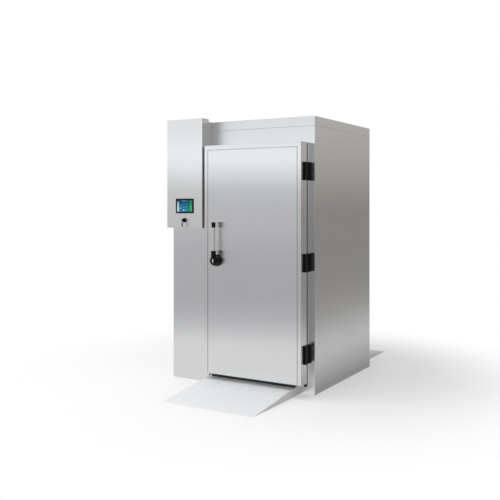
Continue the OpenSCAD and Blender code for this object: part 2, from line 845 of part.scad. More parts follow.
module controller_board() {
    l = gear_l + board_side;
    r = gear_r - board_side;
    z1 = control_top - board_top;
    z0 = z1 - board_h;
    face = gear_b - board_off - board_t;
    box([l, face, z0], [r, face + board_t, z1]);
    for (x = [l + 10, r - 10], z = [z0 + 10, z1 - 10]) rod_y(x, z, gear_b - board_off, gear_b, 4);
    for (i = [0:3])
        box([l + board_side + i * plug_pitch, face - plug_d, z0 + board_side],
            [l + board_side + i * plug_pitch + plug_w, face, z0 + board_side + plug_h]);
    box([l + chip_w - 10, face - chip_d, z0 + chip_w], [l + 2 * chip_w - 10, face, z0 + 2 * chip_w]);
}

module switchgear() color("whitesmoke") {
    rail_row(breakers);
    rail_row(contactors);
    controller_board();
}

/* Display: a bezel with its module behind the cover, and the screen in it. */
bezel_x = (bezel_l + bezel_r) / 2;
bezel_mid = bezel_bottom + bezel_h / 2;
screen_w = bezel_w - 2 * bezel_border;
screen_h = bezel_h - 2 * bezel_border;
screen_t = 3;
screen_f = control_f - bezel_proud + 1;

module display_bezel() color("black") difference() {
    union() {
        rounded_plate(bezel_x, bezel_mid, control_f - bezel_proud, control_f, bezel_w, bezel_h, 6);
        box([bezel_l + module_in + 1, control_f, bezel_bottom + module_in + 1],
            [bezel_r - module_in - 1, control_f + module_d, bezel_bottom + bezel_h - module_in - 1]);
    }
    box([bezel_x - screen_w / 2, control_f - bezel_proud - over, bezel_mid - screen_h / 2],
        [bezel_x + screen_w / 2, screen_f + screen_t, bezel_mid + screen_h / 2]);
}

module display_screen() color("teal")
    box([bezel_x - screen_w / 2 + 0.2, screen_f, bezel_mid - screen_h / 2 + 0.2],
        [bezel_x + screen_w / 2 - 0.2, screen_f + screen_t, bezel_mid + screen_h / 2 - 0.2]);

switch_r = 11;
switch_d = 9;
switch_round = 3;
contact_block = 30;
plug_r = 8;
plug_l = 15;

module key_switch() color("black") difference() {
    union() {
        translate([key_x, control_f, key_h]) rotate([90, 0, 0]) rotate_extrude() {
            square([key_r, switch_d - switch_round]);
            square([key_r - switch_round, switch_d]);
            translate([key_r - switch_round, switch_d - switch_round]) circle(r = switch_round);
        }
        rod_y(key_x, key_h, control_f, control_f + cover_sheet + 12, switch_r);
        translate([key_x, control_f + cover_sheet + 4 + contact_block * 0.6, key_h])
            cube([contact_block, contact_block * 1.2, contact_block], center = true);
    }
    rod_y(key_x, key_h, control_f - switch_d - over, control_f + plug_l + over, plug_r + pin_play);
}

// The key with its plug, the ring through its bow and the tag that hangs from the ring
blade_l = 12;
blade_h = 8;
blade_t = 2.4;
bow_t = 4;
bow_l = 26;
bow_h = 24;
bow_hole_r = 3;
bow_y = control_f - switch_d - blade_l - bow_l / 2 + over;
ring_y = bow_y - 6;
ring_t = 1;
key_ring_r = 9;
ring_z = key_h - 16.5;
tag_l = 38;
tag_hole_r = 2.2;
tag_hole_z = ring_z - key_ring_r + ring_t + gap - tag_hole_r;

module key() color("dimgray") {
    rod_y(key_x, key_h, control_f - switch_d - over, control_f + plug_l, plug_r);
    box([key_x - blade_t / 2, control_f - switch_d - blade_l, key_h - blade_h / 2],
        [key_x + blade_t / 2, control_f - switch_d, key_h + blade_h / 2]);
    difference() {
        translate([key_x - bow_t / 2, bow_y, key_h]) rotate([0, 90, 0]) linear_extrude(bow_t)
            rounded_rect(bow_h, bow_l, 8);
        rod_x(ring_y, key_h - 6, key_x - bow_t, key_x + bow_t, bow_hole_r);
    }
    translate([key_x, ring_y, ring_z]) rotate([90, 0, 0]) rotate_extrude()
        translate([key_ring_r, 0]) circle(r = ring_t);
    translate([key_x - blade_t / 2, ring_y, tag_hole_z]) rotate([0, 90, 0]) linear_extrude(blade_t)
        difference() {
            translate([tag_l / 2 - 4, 0]) rounded_rect(tag_l, 15, 6);
            circle(r = tag_hole_r);
        }
}

/* Evaporator: thin fins between end plates, with a serpentine tube in two columns. */
fin_t = 0.8;
tube_gap = 0.2;
tube_x = [coil_x0 + coil_w * 0.27, coil_x0 + coil_w * 0.73];
function tube_z(i) = coil_z0 + coil_pitch * (i + 0.5);

module fin_outline() difference() {
    square([coil_w, coil_h]);
    for (x = tube_x, i = [0:coil_rows - 1])
        translate([x - coil_x0, tube_z(i) - coil_z0]) circle(r = tube_r + tube_gap);
}

module fin(y, t) translate([coil_x0, y + t / 2, coil_z0]) rotate([90, 0, 0]) linear_extrude(t) fin_outline();

module evaporator_coil() color("silver") {
    for (i = [0:coil_fins - 1]) fin(-coil_l / 2 + 14 + i * (coil_l - 28) / (coil_fins - 1), fin_t);
    for (y = [-coil_l / 2 + 1, coil_l / 2 - 1]) fin(y, 2);
    for (z = [coil_z0 - 2, coil_z0 + coil_h])
        box([coil_x0, -coil_l / 2, z], [coil_x1, coil_l / 2, z + 2]);
    for (y = [-coil_l / 2 + 30, coil_l / 2 - 60])
        box([inner_l, y, coil_z0 + coil_h - 60], [coil_x0, y + 30, coil_z0 + coil_h - 20]);
}

// A half-turn that joins two tubes, one pitch apart, and stands in their ends
module return_bend(x, y, z, s) translate([x, y, z + coil_pitch / 2])
    rotate([0, 90, 0]) rotate(s > 0 ? 0 : 180) rotate_extrude(angle = 180)
        translate([coil_pitch / 2, 0]) circle(r = tube_r - 0.5);

module evaporator_tubes() color("peru") for (x = tube_x) {
    end = coil_l / 2 + 4;
    for (i = [0:coil_rows - 1]) rod_y(x, tube_z(i), -end, end, tube_r);
    for (i = [0:coil_rows - 2]) {
        s = i % 2 == 0 ? 1 : -1;
        return_bend(x, s * (end - over), tube_z(i), s);
    }
}

pan_sheet = 1.5;
pan_side = 10;
pan_lip = 35;
pan_foot = 30;
pan_foot_in = 60;
drain_wall = 2;

pan_y = coil_l / 2 + pan_end;

module drain_pan() color("gainsboro") {
    x0 = coil_x0 - pan_side;
    x1 = coil_x1 + pan_lip;
    difference() {
        box([x0, -pan_y, pan_z0], [x1, pan_y, pan_z0 + pan_h]);
        box([x0 + pan_sheet, -pan_y + pan_sheet, pan_z0 + pan_sheet],
            [x1 - pan_sheet, pan_y - pan_sheet, pan_z0 + pan_h + over]);
        rod_y(drain_x, drain_z, pan_y - pan_sheet - over, pan_y + over, drain_r - end_step + tube_gap);
    }
    for (y = [pan_foot_in - pan_y, pan_y - pan_foot_in - pan_foot])
        box([x0 + 20, y, floor_t], [x1 - 20, y + pan_foot, pan_z0]);
}

// The pipes to the outside: drain, suction and liquid. Each is one step thicker outside the cabinet.
pipe_wall = 1.5;
pipe_foot = coil_z0 + coil_h + 2;

module refrigerant_pipe(x, r) difference() {
    union() {
        rod_z(x, pipe_y, pipe_foot, cabinet_h + end_off, r - end_step);
        rod_z(x, pipe_y, cabinet_h + end_off, cabinet_h + pipe_stub, r);
    }
    rod_z(x, pipe_y, pipe_foot + 4, cabinet_h + pipe_stub + over, r - end_step - pipe_wall);
}

module drain_pipe() difference() {
    union() {
        rod_y(drain_x, drain_z, pan_y - pan_sheet, back + end_off, drain_r - end_step);
        rod_y(drain_x, drain_z, back + end_off, back + pipe_stub, drain_r);
    }
    rod_y(drain_x, drain_z, pan_y - pan_sheet - over, back + pipe_stub + over,
        drain_r - end_step - drain_wall);
}

module service_pipes() color("peru") {
    drain_pipe();
    refrigerant_pipe(suction_x, suction_r);
    refrigerant_pipe(liquid_x, liquid_r);
}

gland_side = 160;
gland_in = 260;
gland_x = left + gland_side;
gland_y = front + gland_in;
gland_r = 15;
gland_h = 26;
gland_nut = 8;
gland_thread_r = 12;
gland_bore = 7;

module cable_gland() color("dimgray") difference() {
    union() {
        translate([gland_x, gland_y, cabinet_h]) cylinder(r = gland_r, h = gland_nut, $fn = 6);
        translate([gland_x, gland_y, cabinet_h + gland_nut])
            cylinder(r1 = gland_r * 0.85, r2 = gland_r * 0.6, h = gland_h - gland_nut);
        rod_z(gland_x, gland_y, wall_h - 10, cabinet_h, gland_thread_r);
    }
    rod_z(gland_x, gland_y, wall_h - 2 * gland_h, cabinet_h + 2 * gland_h, gland_bore);
}

light_in = 100;
light_x = (door_l + door_r) / 2;
light_y = inner_f + light_in;
light_base = 22;
light_w = 80;
light_end = 10;
lens_r = 34;

module ceiling_light() color("white") {
    box([light_x - light_l / 2, light_y - light_w / 2, wall_h - light_base],
        [light_x + light_l / 2, light_y + light_w / 2, wall_h]);
    translate([light_x - light_l / 2 + light_end, light_y, wall_h - light_base]) rotate([0, 90, 0])
        difference() {
            cylinder(r = lens_r, h = light_l - 2 * light_end);
            translate([-2 * lens_r, -lens_r, -over]) cube([2 * lens_r, 2 * lens_r, light_l]);
        }
}

/* Bumper rails on the right wall, and the wheel guide along the fan panel. */
rail_end = 40;
rail_t = 20;
rail_round = 6;
rail_stud_in = 140;
rail_stud_r = 9;
guide_off = 30;
guide_t = 20;
guide_end = 60;

module bumper_rails() color("silver") {
    for (z = rail_z) {
        translate([inner_r - rail_off, 0, floor_t + z]) rotate([90, 0, 0])
            linear_extrude(inner_b - inner_f - 2 * rail_end, center = true)
                rounded_rect(rail_t, rail_h, rail_round);
        for (y = [inner_f + rail_stud_in, 0, inner_b - rail_stud_in])
            rod_x(y, floor_t + z, inner_r - rail_off + rail_t / 2, inner_r, rail_stud_r);
    }
    box([fan_x + guide_off, inner_f + guide_end, floor_t],
        [fan_x + guide_off + guide_t, inner_b - guide_end, floor_t + guide_h]);
}

/* Fan panel: uprights and cross rails from floor to ceiling, the hinged panel on them, and three fans. */
ring_d = 60;
lug_end = [160, 220];
lug_z = [panel_z0 + lug_end[0], panel_z1 - lug_end[1]];
lug_h = 40;

module fan_panel_posts() color("gainsboro") {
    for (s = [-1, 1])
        box([post_x, s > 0 ? post_y : -post_y - post_w, floor_t],
            [post_x + post_d, s > 0 ? post_y + post_w : -post_y, wall_h]);
    for (z = [[floor_t, panel_z0 + 16], [panel_z1 - 16, wall_h]])
        box([post_x, -post_y, z[0]], [post_x + 20, post_y, z[1]]);
    for (z = lug_z) {
        box([post_x + post_d, post_y + post_w - 4, z - lug_h], [fan_pivot_x - 2, post_y + post_w, z]);
        rod_z(fan_pivot_x, fan_pivot_y, z - lug_h, z, lug_r);
        rod_z(fan_pivot_x, fan_pivot_y, z, z + lug_h - 6, lug_r / 2);
    }
}

module fan_panel() color("gainsboro") {
    px1 = post_y + post_w - 22;
    difference() {
        union() {
            box([fan_x - fan_sheet, -panel_y, panel_z0], [fan_x, px1, panel_z1]);
            for (i = [0:2]) rod_x(0, fan_z(i), fan_x - ring_d, fan_x, ring_r + fan_sheet);
        }
        for (i = [0:2]) rod_x(0, fan_z(i), fan_x - ring_d - over, fan_x + over, ring_r);
    }
    for (z = lug_z) difference() {
        union() {
            rod_z(fan_pivot_x, fan_pivot_y, z + gap, z + gap + lug_h, lug_r);
            box([fan_x - fan_sheet, px1 - 12, z + gap], [fan_x + 3, fan_pivot_y - 3, z + gap + lug_h]);
            box([fan_x, fan_pivot_y - lug_r, z + gap], [fan_pivot_x, fan_pivot_y - 2, z + gap + lug_h]);
        }
        rod_z(fan_pivot_x, fan_pivot_y, z, z + lug_h - 2, lug_r / 2 + pin_play);
    }
}

// Guard: wire rings on eight spokes, whose ends stand on the panel
guard_in = motor_r + 8;
guard_off = 14;
guard_pitch = 26;
guard_ring_r = 2;
guard_spoke_r = 2.4;
guard_foot_r = 3;

module fan_guards() color("silver") for (i = [0:2]) translate([fan_x, 0, fan_z(i)]) rotate([0, 90, 0]) {
    for (r = [guard_in : guard_pitch : ring_r + 10])
        translate([0, 0, guard_off]) rotate_extrude() translate([r, 0]) circle(r = guard_ring_r);
    for (a = [0:45:359]) rotate(a) {
        translate([guard_in - guard_ring_r, 0, guard_off]) rotate([0, 90, 0])
            cylinder(r = guard_spoke_r, h = ring_r + 12 - guard_in + guard_ring_r);
        translate([ring_r + 12, 0, 0]) cylinder(r = guard_foot_r, h = guard_off + guard_ring_r);
    }
}

module fan_motors() color("dimgray") for (i = [0:2]) translate([0, 0, fan_z(i)]) difference() {
    union() {
        rod_x(0, 0, motor_x, motor_x + motor_l, motor_r);
        rod_x(0, 0, fan_x + 12, fan_x + 17, guard_in - guard_ring_r - gap);
    }
    rod_x(0, 0, motor_x - over, motor_x + 30, shaft_r + pin_play);
}

blade_turn = 38;
blade_chord = 66;
fan_blade_t = 3;

module fan(i) color("dimgray") translate([0, 0, fan_z(i)]) {
    rod_x(0, 0, rotor_x - rotor_l, rotor_x, motor_r);
    rod_x(0, 0, rotor_x, motor_x + 28, shaft_r);
    for (k = [0:fan_blades - 1]) rotate([k * 360 / fan_blades, 0, 0]) intersection() {
        translate([rotor_x - rotor_l / 2, 0, rotor_r / 2]) rotate([0, 0, blade_turn])
            cube([blade_chord, fan_blade_t, rotor_r], center = true);
        rod_x(0, 0, rotor_x - rotor_l, rotor_x, rotor_r);
    }
}

module fan_low() fan(0);
module fan_middle() fan(1);
module fan_high() fan(2);

floor_skin();
ceiling_skin();
left_wall_skin();
right_wall_skin();
front_wall_skin();
rear_wall_skin();
panel_cores();
front_door_frame();
rear_door_frame();
frame_hinge_blocks();
door_keepers();
front_ramp();
rear_ramp();
column_cover();
control_housing();
mounting_plate();
switchgear();
evaporator_coil();
evaporator_tubes();
drain_pan();
service_pipes();
cable_gland();
ceiling_light();
bumper_rails();
fan_panel_posts();
fan_panel();
fan_guards();
fan_motors();
fan_low();
fan_middle();
fan_high();
front_door_skin();
front_door_liner();
front_door_core();
front_door_gasket();
front_door_sweep();
front_hinge_leaves();
front_handle_plate();
front_handle_hub();
front_handle_lock();
front_handle_bar();
front_handle_cap();
front_spindle();
rear_door_skin();
rear_door_liner();
rear_door_core();
rear_door_gasket();
rear_door_sweep();
rear_hinge_leaves();
rear_handle_plate();
rear_handle_hub();
rear_handle_lock();
rear_handle_bar();
rear_handle_cap();
rear_spindle();
control_cover();
display_bezel();
display_screen();
key_switch();
key();
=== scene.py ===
"""Looks of a roll-in, pass-through blast chiller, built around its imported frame.

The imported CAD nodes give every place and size. Large sheet-metal pieces, doors, handles, display, fans and
evaporator get finer surfaces of their own; the other nodes get a merged copy with broken edges. All lengths
are metres, +Z is up, and the front door faces -Y.
"""

import json
import logging
import math
from dataclasses import dataclass
from enum import Enum
from typing import Callable, Iterable, Optional, Sequence, Union

import bmesh
import bpy
import numpy as np
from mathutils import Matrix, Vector


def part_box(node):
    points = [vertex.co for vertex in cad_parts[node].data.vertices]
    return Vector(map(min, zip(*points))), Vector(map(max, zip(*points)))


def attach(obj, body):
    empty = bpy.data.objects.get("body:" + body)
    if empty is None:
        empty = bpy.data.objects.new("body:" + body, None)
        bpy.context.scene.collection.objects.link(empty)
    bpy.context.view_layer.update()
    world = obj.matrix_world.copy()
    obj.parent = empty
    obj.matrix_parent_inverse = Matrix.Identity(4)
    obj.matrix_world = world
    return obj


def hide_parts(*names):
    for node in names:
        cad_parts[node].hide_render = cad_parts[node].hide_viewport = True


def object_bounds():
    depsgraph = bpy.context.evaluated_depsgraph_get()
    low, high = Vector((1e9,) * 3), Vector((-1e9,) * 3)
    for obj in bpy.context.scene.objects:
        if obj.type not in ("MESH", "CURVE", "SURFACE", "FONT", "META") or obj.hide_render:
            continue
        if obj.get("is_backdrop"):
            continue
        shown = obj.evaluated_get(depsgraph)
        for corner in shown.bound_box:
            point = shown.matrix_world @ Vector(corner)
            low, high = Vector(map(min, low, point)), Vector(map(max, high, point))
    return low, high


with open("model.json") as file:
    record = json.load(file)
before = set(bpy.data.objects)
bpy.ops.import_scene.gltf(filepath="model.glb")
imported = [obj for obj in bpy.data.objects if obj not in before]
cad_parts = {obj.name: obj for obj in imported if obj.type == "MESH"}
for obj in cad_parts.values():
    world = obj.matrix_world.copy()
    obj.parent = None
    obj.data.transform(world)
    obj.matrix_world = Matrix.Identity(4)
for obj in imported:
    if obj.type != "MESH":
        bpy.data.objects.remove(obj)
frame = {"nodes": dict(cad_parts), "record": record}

log = logging.getLogger("blast_chiller")
MM = 0.001
TAU = 2.0 * math.pi
WELD = 1e-6
FLAT_ANGLE = math.radians(0.4)
SHARP_ANGLE = math.radians(40.0)
MIX_RESULT, MIX_A, MIX_B = 2, 6, 7
Colour = tuple[float, float, float]
Number = Union["Signal", float]
Stops = Sequence[tuple[float, Colour]]
Pairs = list[tuple[float, float]]
Sockets = dict[str, Union["Signal", float, Colour]]


# --- Shader nodes ---


def arithmetic(operation: str, swapped: bool = False) -> Callable[["Signal", Number], "Signal"]:
    """An operator of Signal, which adds one Math node.

    Args:
        operation: the Math node's operation.
        swapped: whether the other value stands on the left.

    Returns:
        The operator's method.
    """

    def method(this: "Signal", other: Number) -> "Signal":
        """The result of the operation."""
        return this.tree.math(operation, *((other, this) if swapped else (this, other)))

    return method


@dataclass(frozen=True)
class Signal:
    """One output socket of a shader tree. Arithmetic on it adds Math nodes."""

    tree: "ShaderTree"
    socket: bpy.types.NodeSocket

    __add__, __radd__ = arithmetic("ADD"), arithmetic("ADD", True)
    __sub__, __rsub__ = arithmetic("SUBTRACT"), arithmetic("SUBTRACT", True)
    __mul__, __rmul__ = arithmetic("MULTIPLY"), arithmetic("MULTIPLY", True)
    __truediv__ = arithmetic("DIVIDE")

    def beside(self, *names: Union[int, str]) -> list["Signal"]:
        """Outputs of the same node, by name or number."""
        return [Signal(self.tree, self.socket.node.outputs[name]) for name in names]

    def clamped(self) -> "Signal":
        """The value held between 0 and 1."""
        return self.tree.node("ShaderNodeClamp", {"Value": self})

    def step(self, low: float, high: float) -> "Signal":
        """A smooth step: 0 below low, 1 above high.

        Args:
            low: where the step starts.
            high: where the step ends; below low it falls instead of rising.

        Returns:
            The stepped signal.
        """
        ends = {"Value": self, "From Min": low, "From Max": high}
        return self.tree.node("ShaderNodeMapRange", ends, interpolation_type="SMOOTHSTEP")


class ShaderTree:
    """A node tree of a material or world, with short ways to add nodes."""

    def __init__(self, owner: Union[bpy.types.Material, bpy.types.World]) -> None:
        """Empties the owner's tree."""
        owner.use_nodes = True
        self.owner = owner
        self.tree = owner.node_tree
        self.tree.nodes.clear()

    def node(
        self, kind: str, inputs: Optional[dict] = None, output: Union[int, str] = 0, **settings: object
    ) -> Signal:
        """Adds a node.

        Args:
            kind: the node's type name.
            inputs: values or signals by socket name or index.
            output: name or index of the socket that is returned.
            settings: properties of the node, which are set first.

        Returns:
            The chosen output socket.
        """
        made = self.tree.nodes.new(kind)
        for key, value in settings.items():
            setattr(made, key, value)
        for key, value in (inputs or {}).items():
            socket = made.inputs[key]
            if isinstance(value, Signal):
                self.tree.links.new(value.socket, socket)
            else:
                socket.default_value = (*value, 1.0) if socket.type == "RGBA" else value
        return Signal(self, made.outputs[output] if made.outputs else None)

    def math(self, operation: str, a: Number, b: Number = 0.0) -> Signal:
        """A Math node with one or two values."""
        return self.node("ShaderNodeMath", {0: a, 1: b}, operation=operation)

    def axes(self) -> list[Signal]:
        """The X, Y and Z object coordinates as three signals."""
        here = self.node("ShaderNodeTexCoord", output="Object")
        return self.node("ShaderNodeSeparateXYZ", {0: here}).beside(0, 1, 2)

    def place(self, scale: Union[float, Sequence[float]]) -> Signal:
        """Object coordinates, multiplied by one factor or by one for each axis."""
        here = self.node("ShaderNodeTexCoord", output="Object")
        factors = (scale,) * 3 if isinstance(scale, float) else tuple(scale)
        return self.node("ShaderNodeMapping", {"Vector": here, "Scale": factors})

    def noise(
        self, scale: Union[float, Sequence[float]], detail: float = 2.0, roughness: float = 0.5
    ) -> Signal:
        """Noise between 0 and 1 in scaled object coordinates."""
        inputs = {"Vector": self.place(scale), "Scale": 1.0, "Detail": detail, "Roughness": roughness}
        return self.node("ShaderNodeTexNoise", inputs)

    def cells(self, scale: float, output: str = "Distance") -> Signal:
        """Round cells in scaled object coordinates, as a distance or a colour."""
        inputs = {"Vector": self.place(scale), "Scale": 1.0}
        return self.node("ShaderNodeTexVoronoi", inputs, output, feature="F1")

    def blend(self, amount: Number, a: Union[Signal, Colour], b: Union[Signal, Colour]) -> Signal:
        """Mixes two colours.

        Args:
            amount: share of the second colour.
            a: first colour.
            b: second colour.

        Returns:
            The mixed colour.
        """
        inputs = {0: amount, MIX_A: a, MIX_B: b}
        return self.node("ShaderNodeMix", inputs, MIX_RESULT, data_type="RGBA", clamp_factor=True)

    def ramp(self, value: Signal, stops: Stops) -> Signal:
        """A colour that follows a value.

        Args:
            value: a value on the same scale as the places.
            stops: rising places and their colours.

        Returns:
            The colour.
        """
        reach = stops[-1][0]
        made = self.node("ShaderNodeValToRGB", {0: value / reach})
        elements = made.socket.node.color_ramp.elements
        while len(elements) < len(stops):
            elements.new(1.0)
        for element, (at, colour) in zip(elements, stops):
            element.position, element.color = at / reach, (*colour, 1.0)
        return made

    def bump(self, height: Signal, strength: float, distance: float) -> Signal:
        """A bumped normal from a height signal, with distance in millimetres."""
        inputs = {"Height": height, "Strength": strength, "Distance": distance * MM}
        return self.node("ShaderNodeBump", inputs, "Normal")

    def finish(self, surface: Signal) -> Union[bpy.types.Material, bpy.types.World]:
        """Connects the shader to the output and returns the owner."""
        kind = "World" if isinstance(self.owner, bpy.types.World) else "Material"
        self.node("ShaderNodeOutput" + kind, {"Surface": surface})
        return self.owner


# --- Finishes ---


def shade(colour: Colour, factor: float, lift: float = 0.0) -> Colour:
    """A colour times a factor plus a lift, at most 1."""
    return tuple(min(1.0, factor * c + lift) for c in colour)


def look(base: Signal, rough: Number, normal: Optional[Signal] = None, **others: object) -> Sockets:
    """Sockets of a Principled shader by name; words in the other names are joined by underscores."""
    named = {key.replace("_", " "): value for key, value in others.items()}
    if normal is not None:
        named["Normal"] = normal
    return {"Base Color": base, "Roughness": rough, **named}


class Grain(Enum):
    """Direction of the brush lines in a sheet."""

    UPRIGHT = (1.0, 1.0, 0.006)
    ALONG_Y = (1.0, 0.006, 1.0)


@dataclass(frozen=True)
class ShadedGroove:
    """Painted shade along a groove in a sheet: narrow along one axis and long along the other, numbered 0 for
    X to 2 for Z.
    """

    across: int
    at: float
    along: int
    start: float
    end: float
    width: float = 8 * MM

    def mask(self, t: ShaderTree) -> Signal:
        """1 on the line of painted shade, falling softly to 0 at its edges."""
        axes = t.axes()
        off = t.math("ABSOLUTE", axes[self.across] - self.at)
        run = axes[self.along]
        soft = self.width / 2
        ends = run.step(self.start - soft, self.start + soft) * run.step(self.end + soft, self.end - soft)
        return off.step(self.width, self.width * 0.15) * ends


@dataclass(frozen=True)
class Finish:
    """A look, told by the sockets of one Principled shader, which each kind of finish gives."""

    name: str

    def sockets(self, t: ShaderTree) -> Sockets:
        """Values and signals by socket name, with their nodes in the tree t."""
        raise NotImplementedError(t)

    def material(self) -> bpy.types.Material:
        """Builds the material."""
        t = ShaderTree(bpy.data.materials.new(self.name))
        return t.finish(t.node("ShaderNodeBsdfPrincipled", self.sockets(t)))


@dataclass(frozen=True)
class BrushedSteel(Finish):
    """Stainless sheet: brush lines, faint streaks, smears, scuffs near the floor and painted shade along each
    pressed groove.
    """

    colour: Colour = (0.745, 0.75, 0.755)
    roughness: float = 0.2
    grain: Grain = Grain.UPRIGHT
    stretch: float = 1.0
    metal: float = 1.0
    # Painted shade along each pressed groove, and how strongly it darkens the sheet there.
    shaded_grooves: tuple[ShadedGroove, ...] = ()
    depth: float = 0.2

    def sockets(self, t: ShaderTree) -> Sockets:
        """Sockets of the sheet."""
        lines = t.noise([900.0 * a for a in self.grain.value], 3.0, 0.6)
        streaks = t.noise([60.0 if a == 1.0 else 0.4 for a in self.grain.value])
        smears = t.noise((2.3, 2.3, 1.6), 4.0, 0.55).step(0.45, 0.8)
        low = t.axes()[2].step(0.30, 0.0) * t.noise((22.0, 22.0, 5.0), 4.0).step(0.45, 0.8)
        base = t.blend(lines * 0.75 + streaks * 0.25, shade(self.colour, 0.96), shade(self.colour, 1.03))
        base = t.blend(smears * 0.05 + low * 0.16, base, (0.62, 0.62, 0.61))
        # Painted shade: the sheet turns towards near black along each pressed groove, where shade falls in
        # the recess.
        for groove in self.shaded_grooves:
            base = t.blend(groove.mask(t) * self.depth, base, (0.08,) * 3)
        rough = self.roughness + (lines - 0.5) * 0.05 + (streaks - 0.5) * 0.014 + smears * 0.012 + low * 0.06
        bump = t.bump(lines * 0.8 + streaks * 0.2, 0.08, 0.04)
        return look(base, rough, bump, Metallic=self.metal, Anisotropic=self.stretch)


@dataclass(frozen=True)
class BlastedSteel(Finish):
    """Bead-blasted sheet of the ramps: pale and almost without reflections, with grit and wheel tracks."""

    colour: Colour = (0.82, 0.83, 0.84)
    metal: float = 0.12

    def sockets(self, t: ShaderTree) -> Sockets:
        """Sockets of the sheet."""
        grit = t.noise(1400.0)
        cloud = t.noise((5.0, 3.0, 5.0), 4.0, 0.6)
        tracks = t.noise((14.0, 0.5, 14.0), 3.0).step(0.5, 0.8)
        base = t.blend(grit * 0.5 + cloud * 0.5, shade(self.colour, 0.95), self.colour)
        base = t.blend(tracks * 0.10, base, (0.58, 0.58, 0.575))
        return look(base, 0.52 + (grit - 0.5) * 0.16, t.bump(grit, 0.3, 0.1), Metallic=self.metal)


@dataclass(frozen=True)
class MouldedPlastic(Finish):
    """Injection-moulded plastic with a fine eroded texture and rubbed high spots."""

    colour: Colour
    roughness: float = 0.42
    texture: float = 0.12
    rub: float = 0.3
    shine: float = 0.5
    coat: float = 0.0

    def sockets(self, t: ShaderTree) -> Sockets:
        """Sockets of the plastic."""
        pits = t.noise(2600.0)
        cloud = t.noise(55.0, 4.0, 0.6)
        worn = cloud.step(0.35, 0.8) * self.rub + (pits - 0.5) * 0.12
        base = t.blend(worn, self.colour, shade(self.colour, 1.35, 0.012))
        rough = self.roughness + (pits - 0.5) * 0.16 + (cloud - 0.5) * 0.12
        coat = {"Specular_IOR_Level": self.shine, "Coat_Weight": self.coat, "Coat_Roughness": 0.08}
        return look(base, rough, t.bump(pits, 0.35, self.texture), **coat)


@dataclass(frozen=True)
class Rubber(Finish):
    """Black seal rubber with a dusty bloom and a faint extrusion line."""

    colour: Colour = (0.018, 0.018, 0.018)

    def sockets(self, t: ShaderTree) -> Sockets:
        """Sockets of the rubber."""
        bloom = t.noise((35.0, 35.0, 12.0), 5.0, 0.65)
        base = t.blend(bloom.step(0.45, 0.85) * 0.5, self.colour, (0.09, 0.088, 0.085))
        return look(base, 0.68 + (bloom - 0.5) * 0.25, t.bump(t.noise((6.0, 1500.0, 1500.0)), 0.2, 0.1))


@dataclass(frozen=True)
class Foam(Finish):
    """Cut polyurethane foam: closed cells in a warm yellow."""

    colour: Colour = (0.80, 0.68, 0.36)

    def sockets(self, t: ShaderTree) -> Sockets:
        """Sockets of the foam."""
        cells = t.cells(900.0)
        tint = cells.step(0.1, 0.7) * 0.5 + t.noise(9.0, 3.0) * 0.3
        base = t.blend(tint, shade(self.colour, 0.8), self.colour)
        return look(base, 0.9 - cells * 0.1, t.bump(cells, 0.6, 0.6))


@dataclass(frozen=True)
class SmoothMetal(Finish):
    """Turned, drawn or plated metal: fine turning marks, a slightly clouded surface and stain spots."""

    colour: Colour
    roughness: float = 0.16
    stain: Colour = (0.5, 0.5, 0.5)
    staining: float = 0.15

    def sockets(self, t: ShaderTree) -> Sockets:
        """Sockets of the metal."""
        marks = t.noise((700.0, 700.0, 40.0))
        cloud = t.noise(28.0, 4.0, 0.6)
        base = t.blend(cloud.step(0.45, 0.75) * self.staining, self.colour, self.stain)
        rough = self.roughness + (marks - 0.5) * 0.08 + cloud.step(0.4, 0.8) * self.staining * 0.5
        return look(base, rough, t.bump(marks, 0.08, 0.04), Metallic=1.0)


@dataclass(frozen=True)
class Paint(Finish):
    """Powder-coated or enamelled metal with orange peel and rubbed spots."""

    colour: Colour
    roughness: float = 0.45

    def sockets(self, t: ShaderTree) -> Sockets:
        """Sockets of the paint."""
        cloud = t.noise(16.0, 4.0)
        base = t.blend(cloud.step(0.5, 0.85) * 0.25, self.colour, shade(self.colour, 1.5, 0.02))
        return look(base, self.roughness + (cloud - 0.5) * 0.15, t.bump(t.noise(420.0), 0.3, 0.2))


@dataclass(frozen=True)
class Zinc(Finish):
    """Galvanised sheet with its spangle of large crystals."""

    colour: Colour = (0.66, 0.68, 0.70)

    def sockets(self, t: ShaderTree) -> Sockets:
        """Sockets of the sheet."""
        spangle = t.node("ShaderNodeSeparateColor", {0: t.cells(70.0, "Color")})
        base = t.blend(spangle, shade(self.colour, 0.8), self.colour)
        return look(base, 0.36 + spangle * 0.16, Metallic=0.85)


@dataclass(frozen=True)
class Switches(Finish):
    """Pale grey technical plastic whose rows are told apart by height: breakers, contactors, board.

    The heights are distances below the top of the control box, and face is where the levers start in Y.
    """

    top: float
    face: float
    contactor: tuple[float, float] = (341 * MM, 259 * MM)
    board: tuple[float, float] = (621 * MM, 399 * MM)

    def sockets(self, t: ShaderTree) -> Sockets:
        """Sockets of all the rows."""
        _, y, z = t.axes()
        pits = t.noise(1800.0)

        def row(low: float, high: float) -> Signal:
            """1 between two distances below the top."""
            return z.step(self.top - low - MM, self.top - low) * z.step(self.top - high + MM, self.top - high)

        board, lever = row(*self.board), y.step(self.face, self.face - MM)
        base = t.blend(pits * 0.4, (0.55, 0.56, 0.55), (0.68, 0.69, 0.68))
        base = t.blend(row(*self.contactor), base, (0.10, 0.105, 0.11))
        base = t.blend(board, base, (0.03, 0.17, 0.08))
        base = t.blend(lever * (1.0 - board), base, (0.035, 0.04, 0.05))
        return look(base, 0.5 + (pits - 0.5) * 0.2)


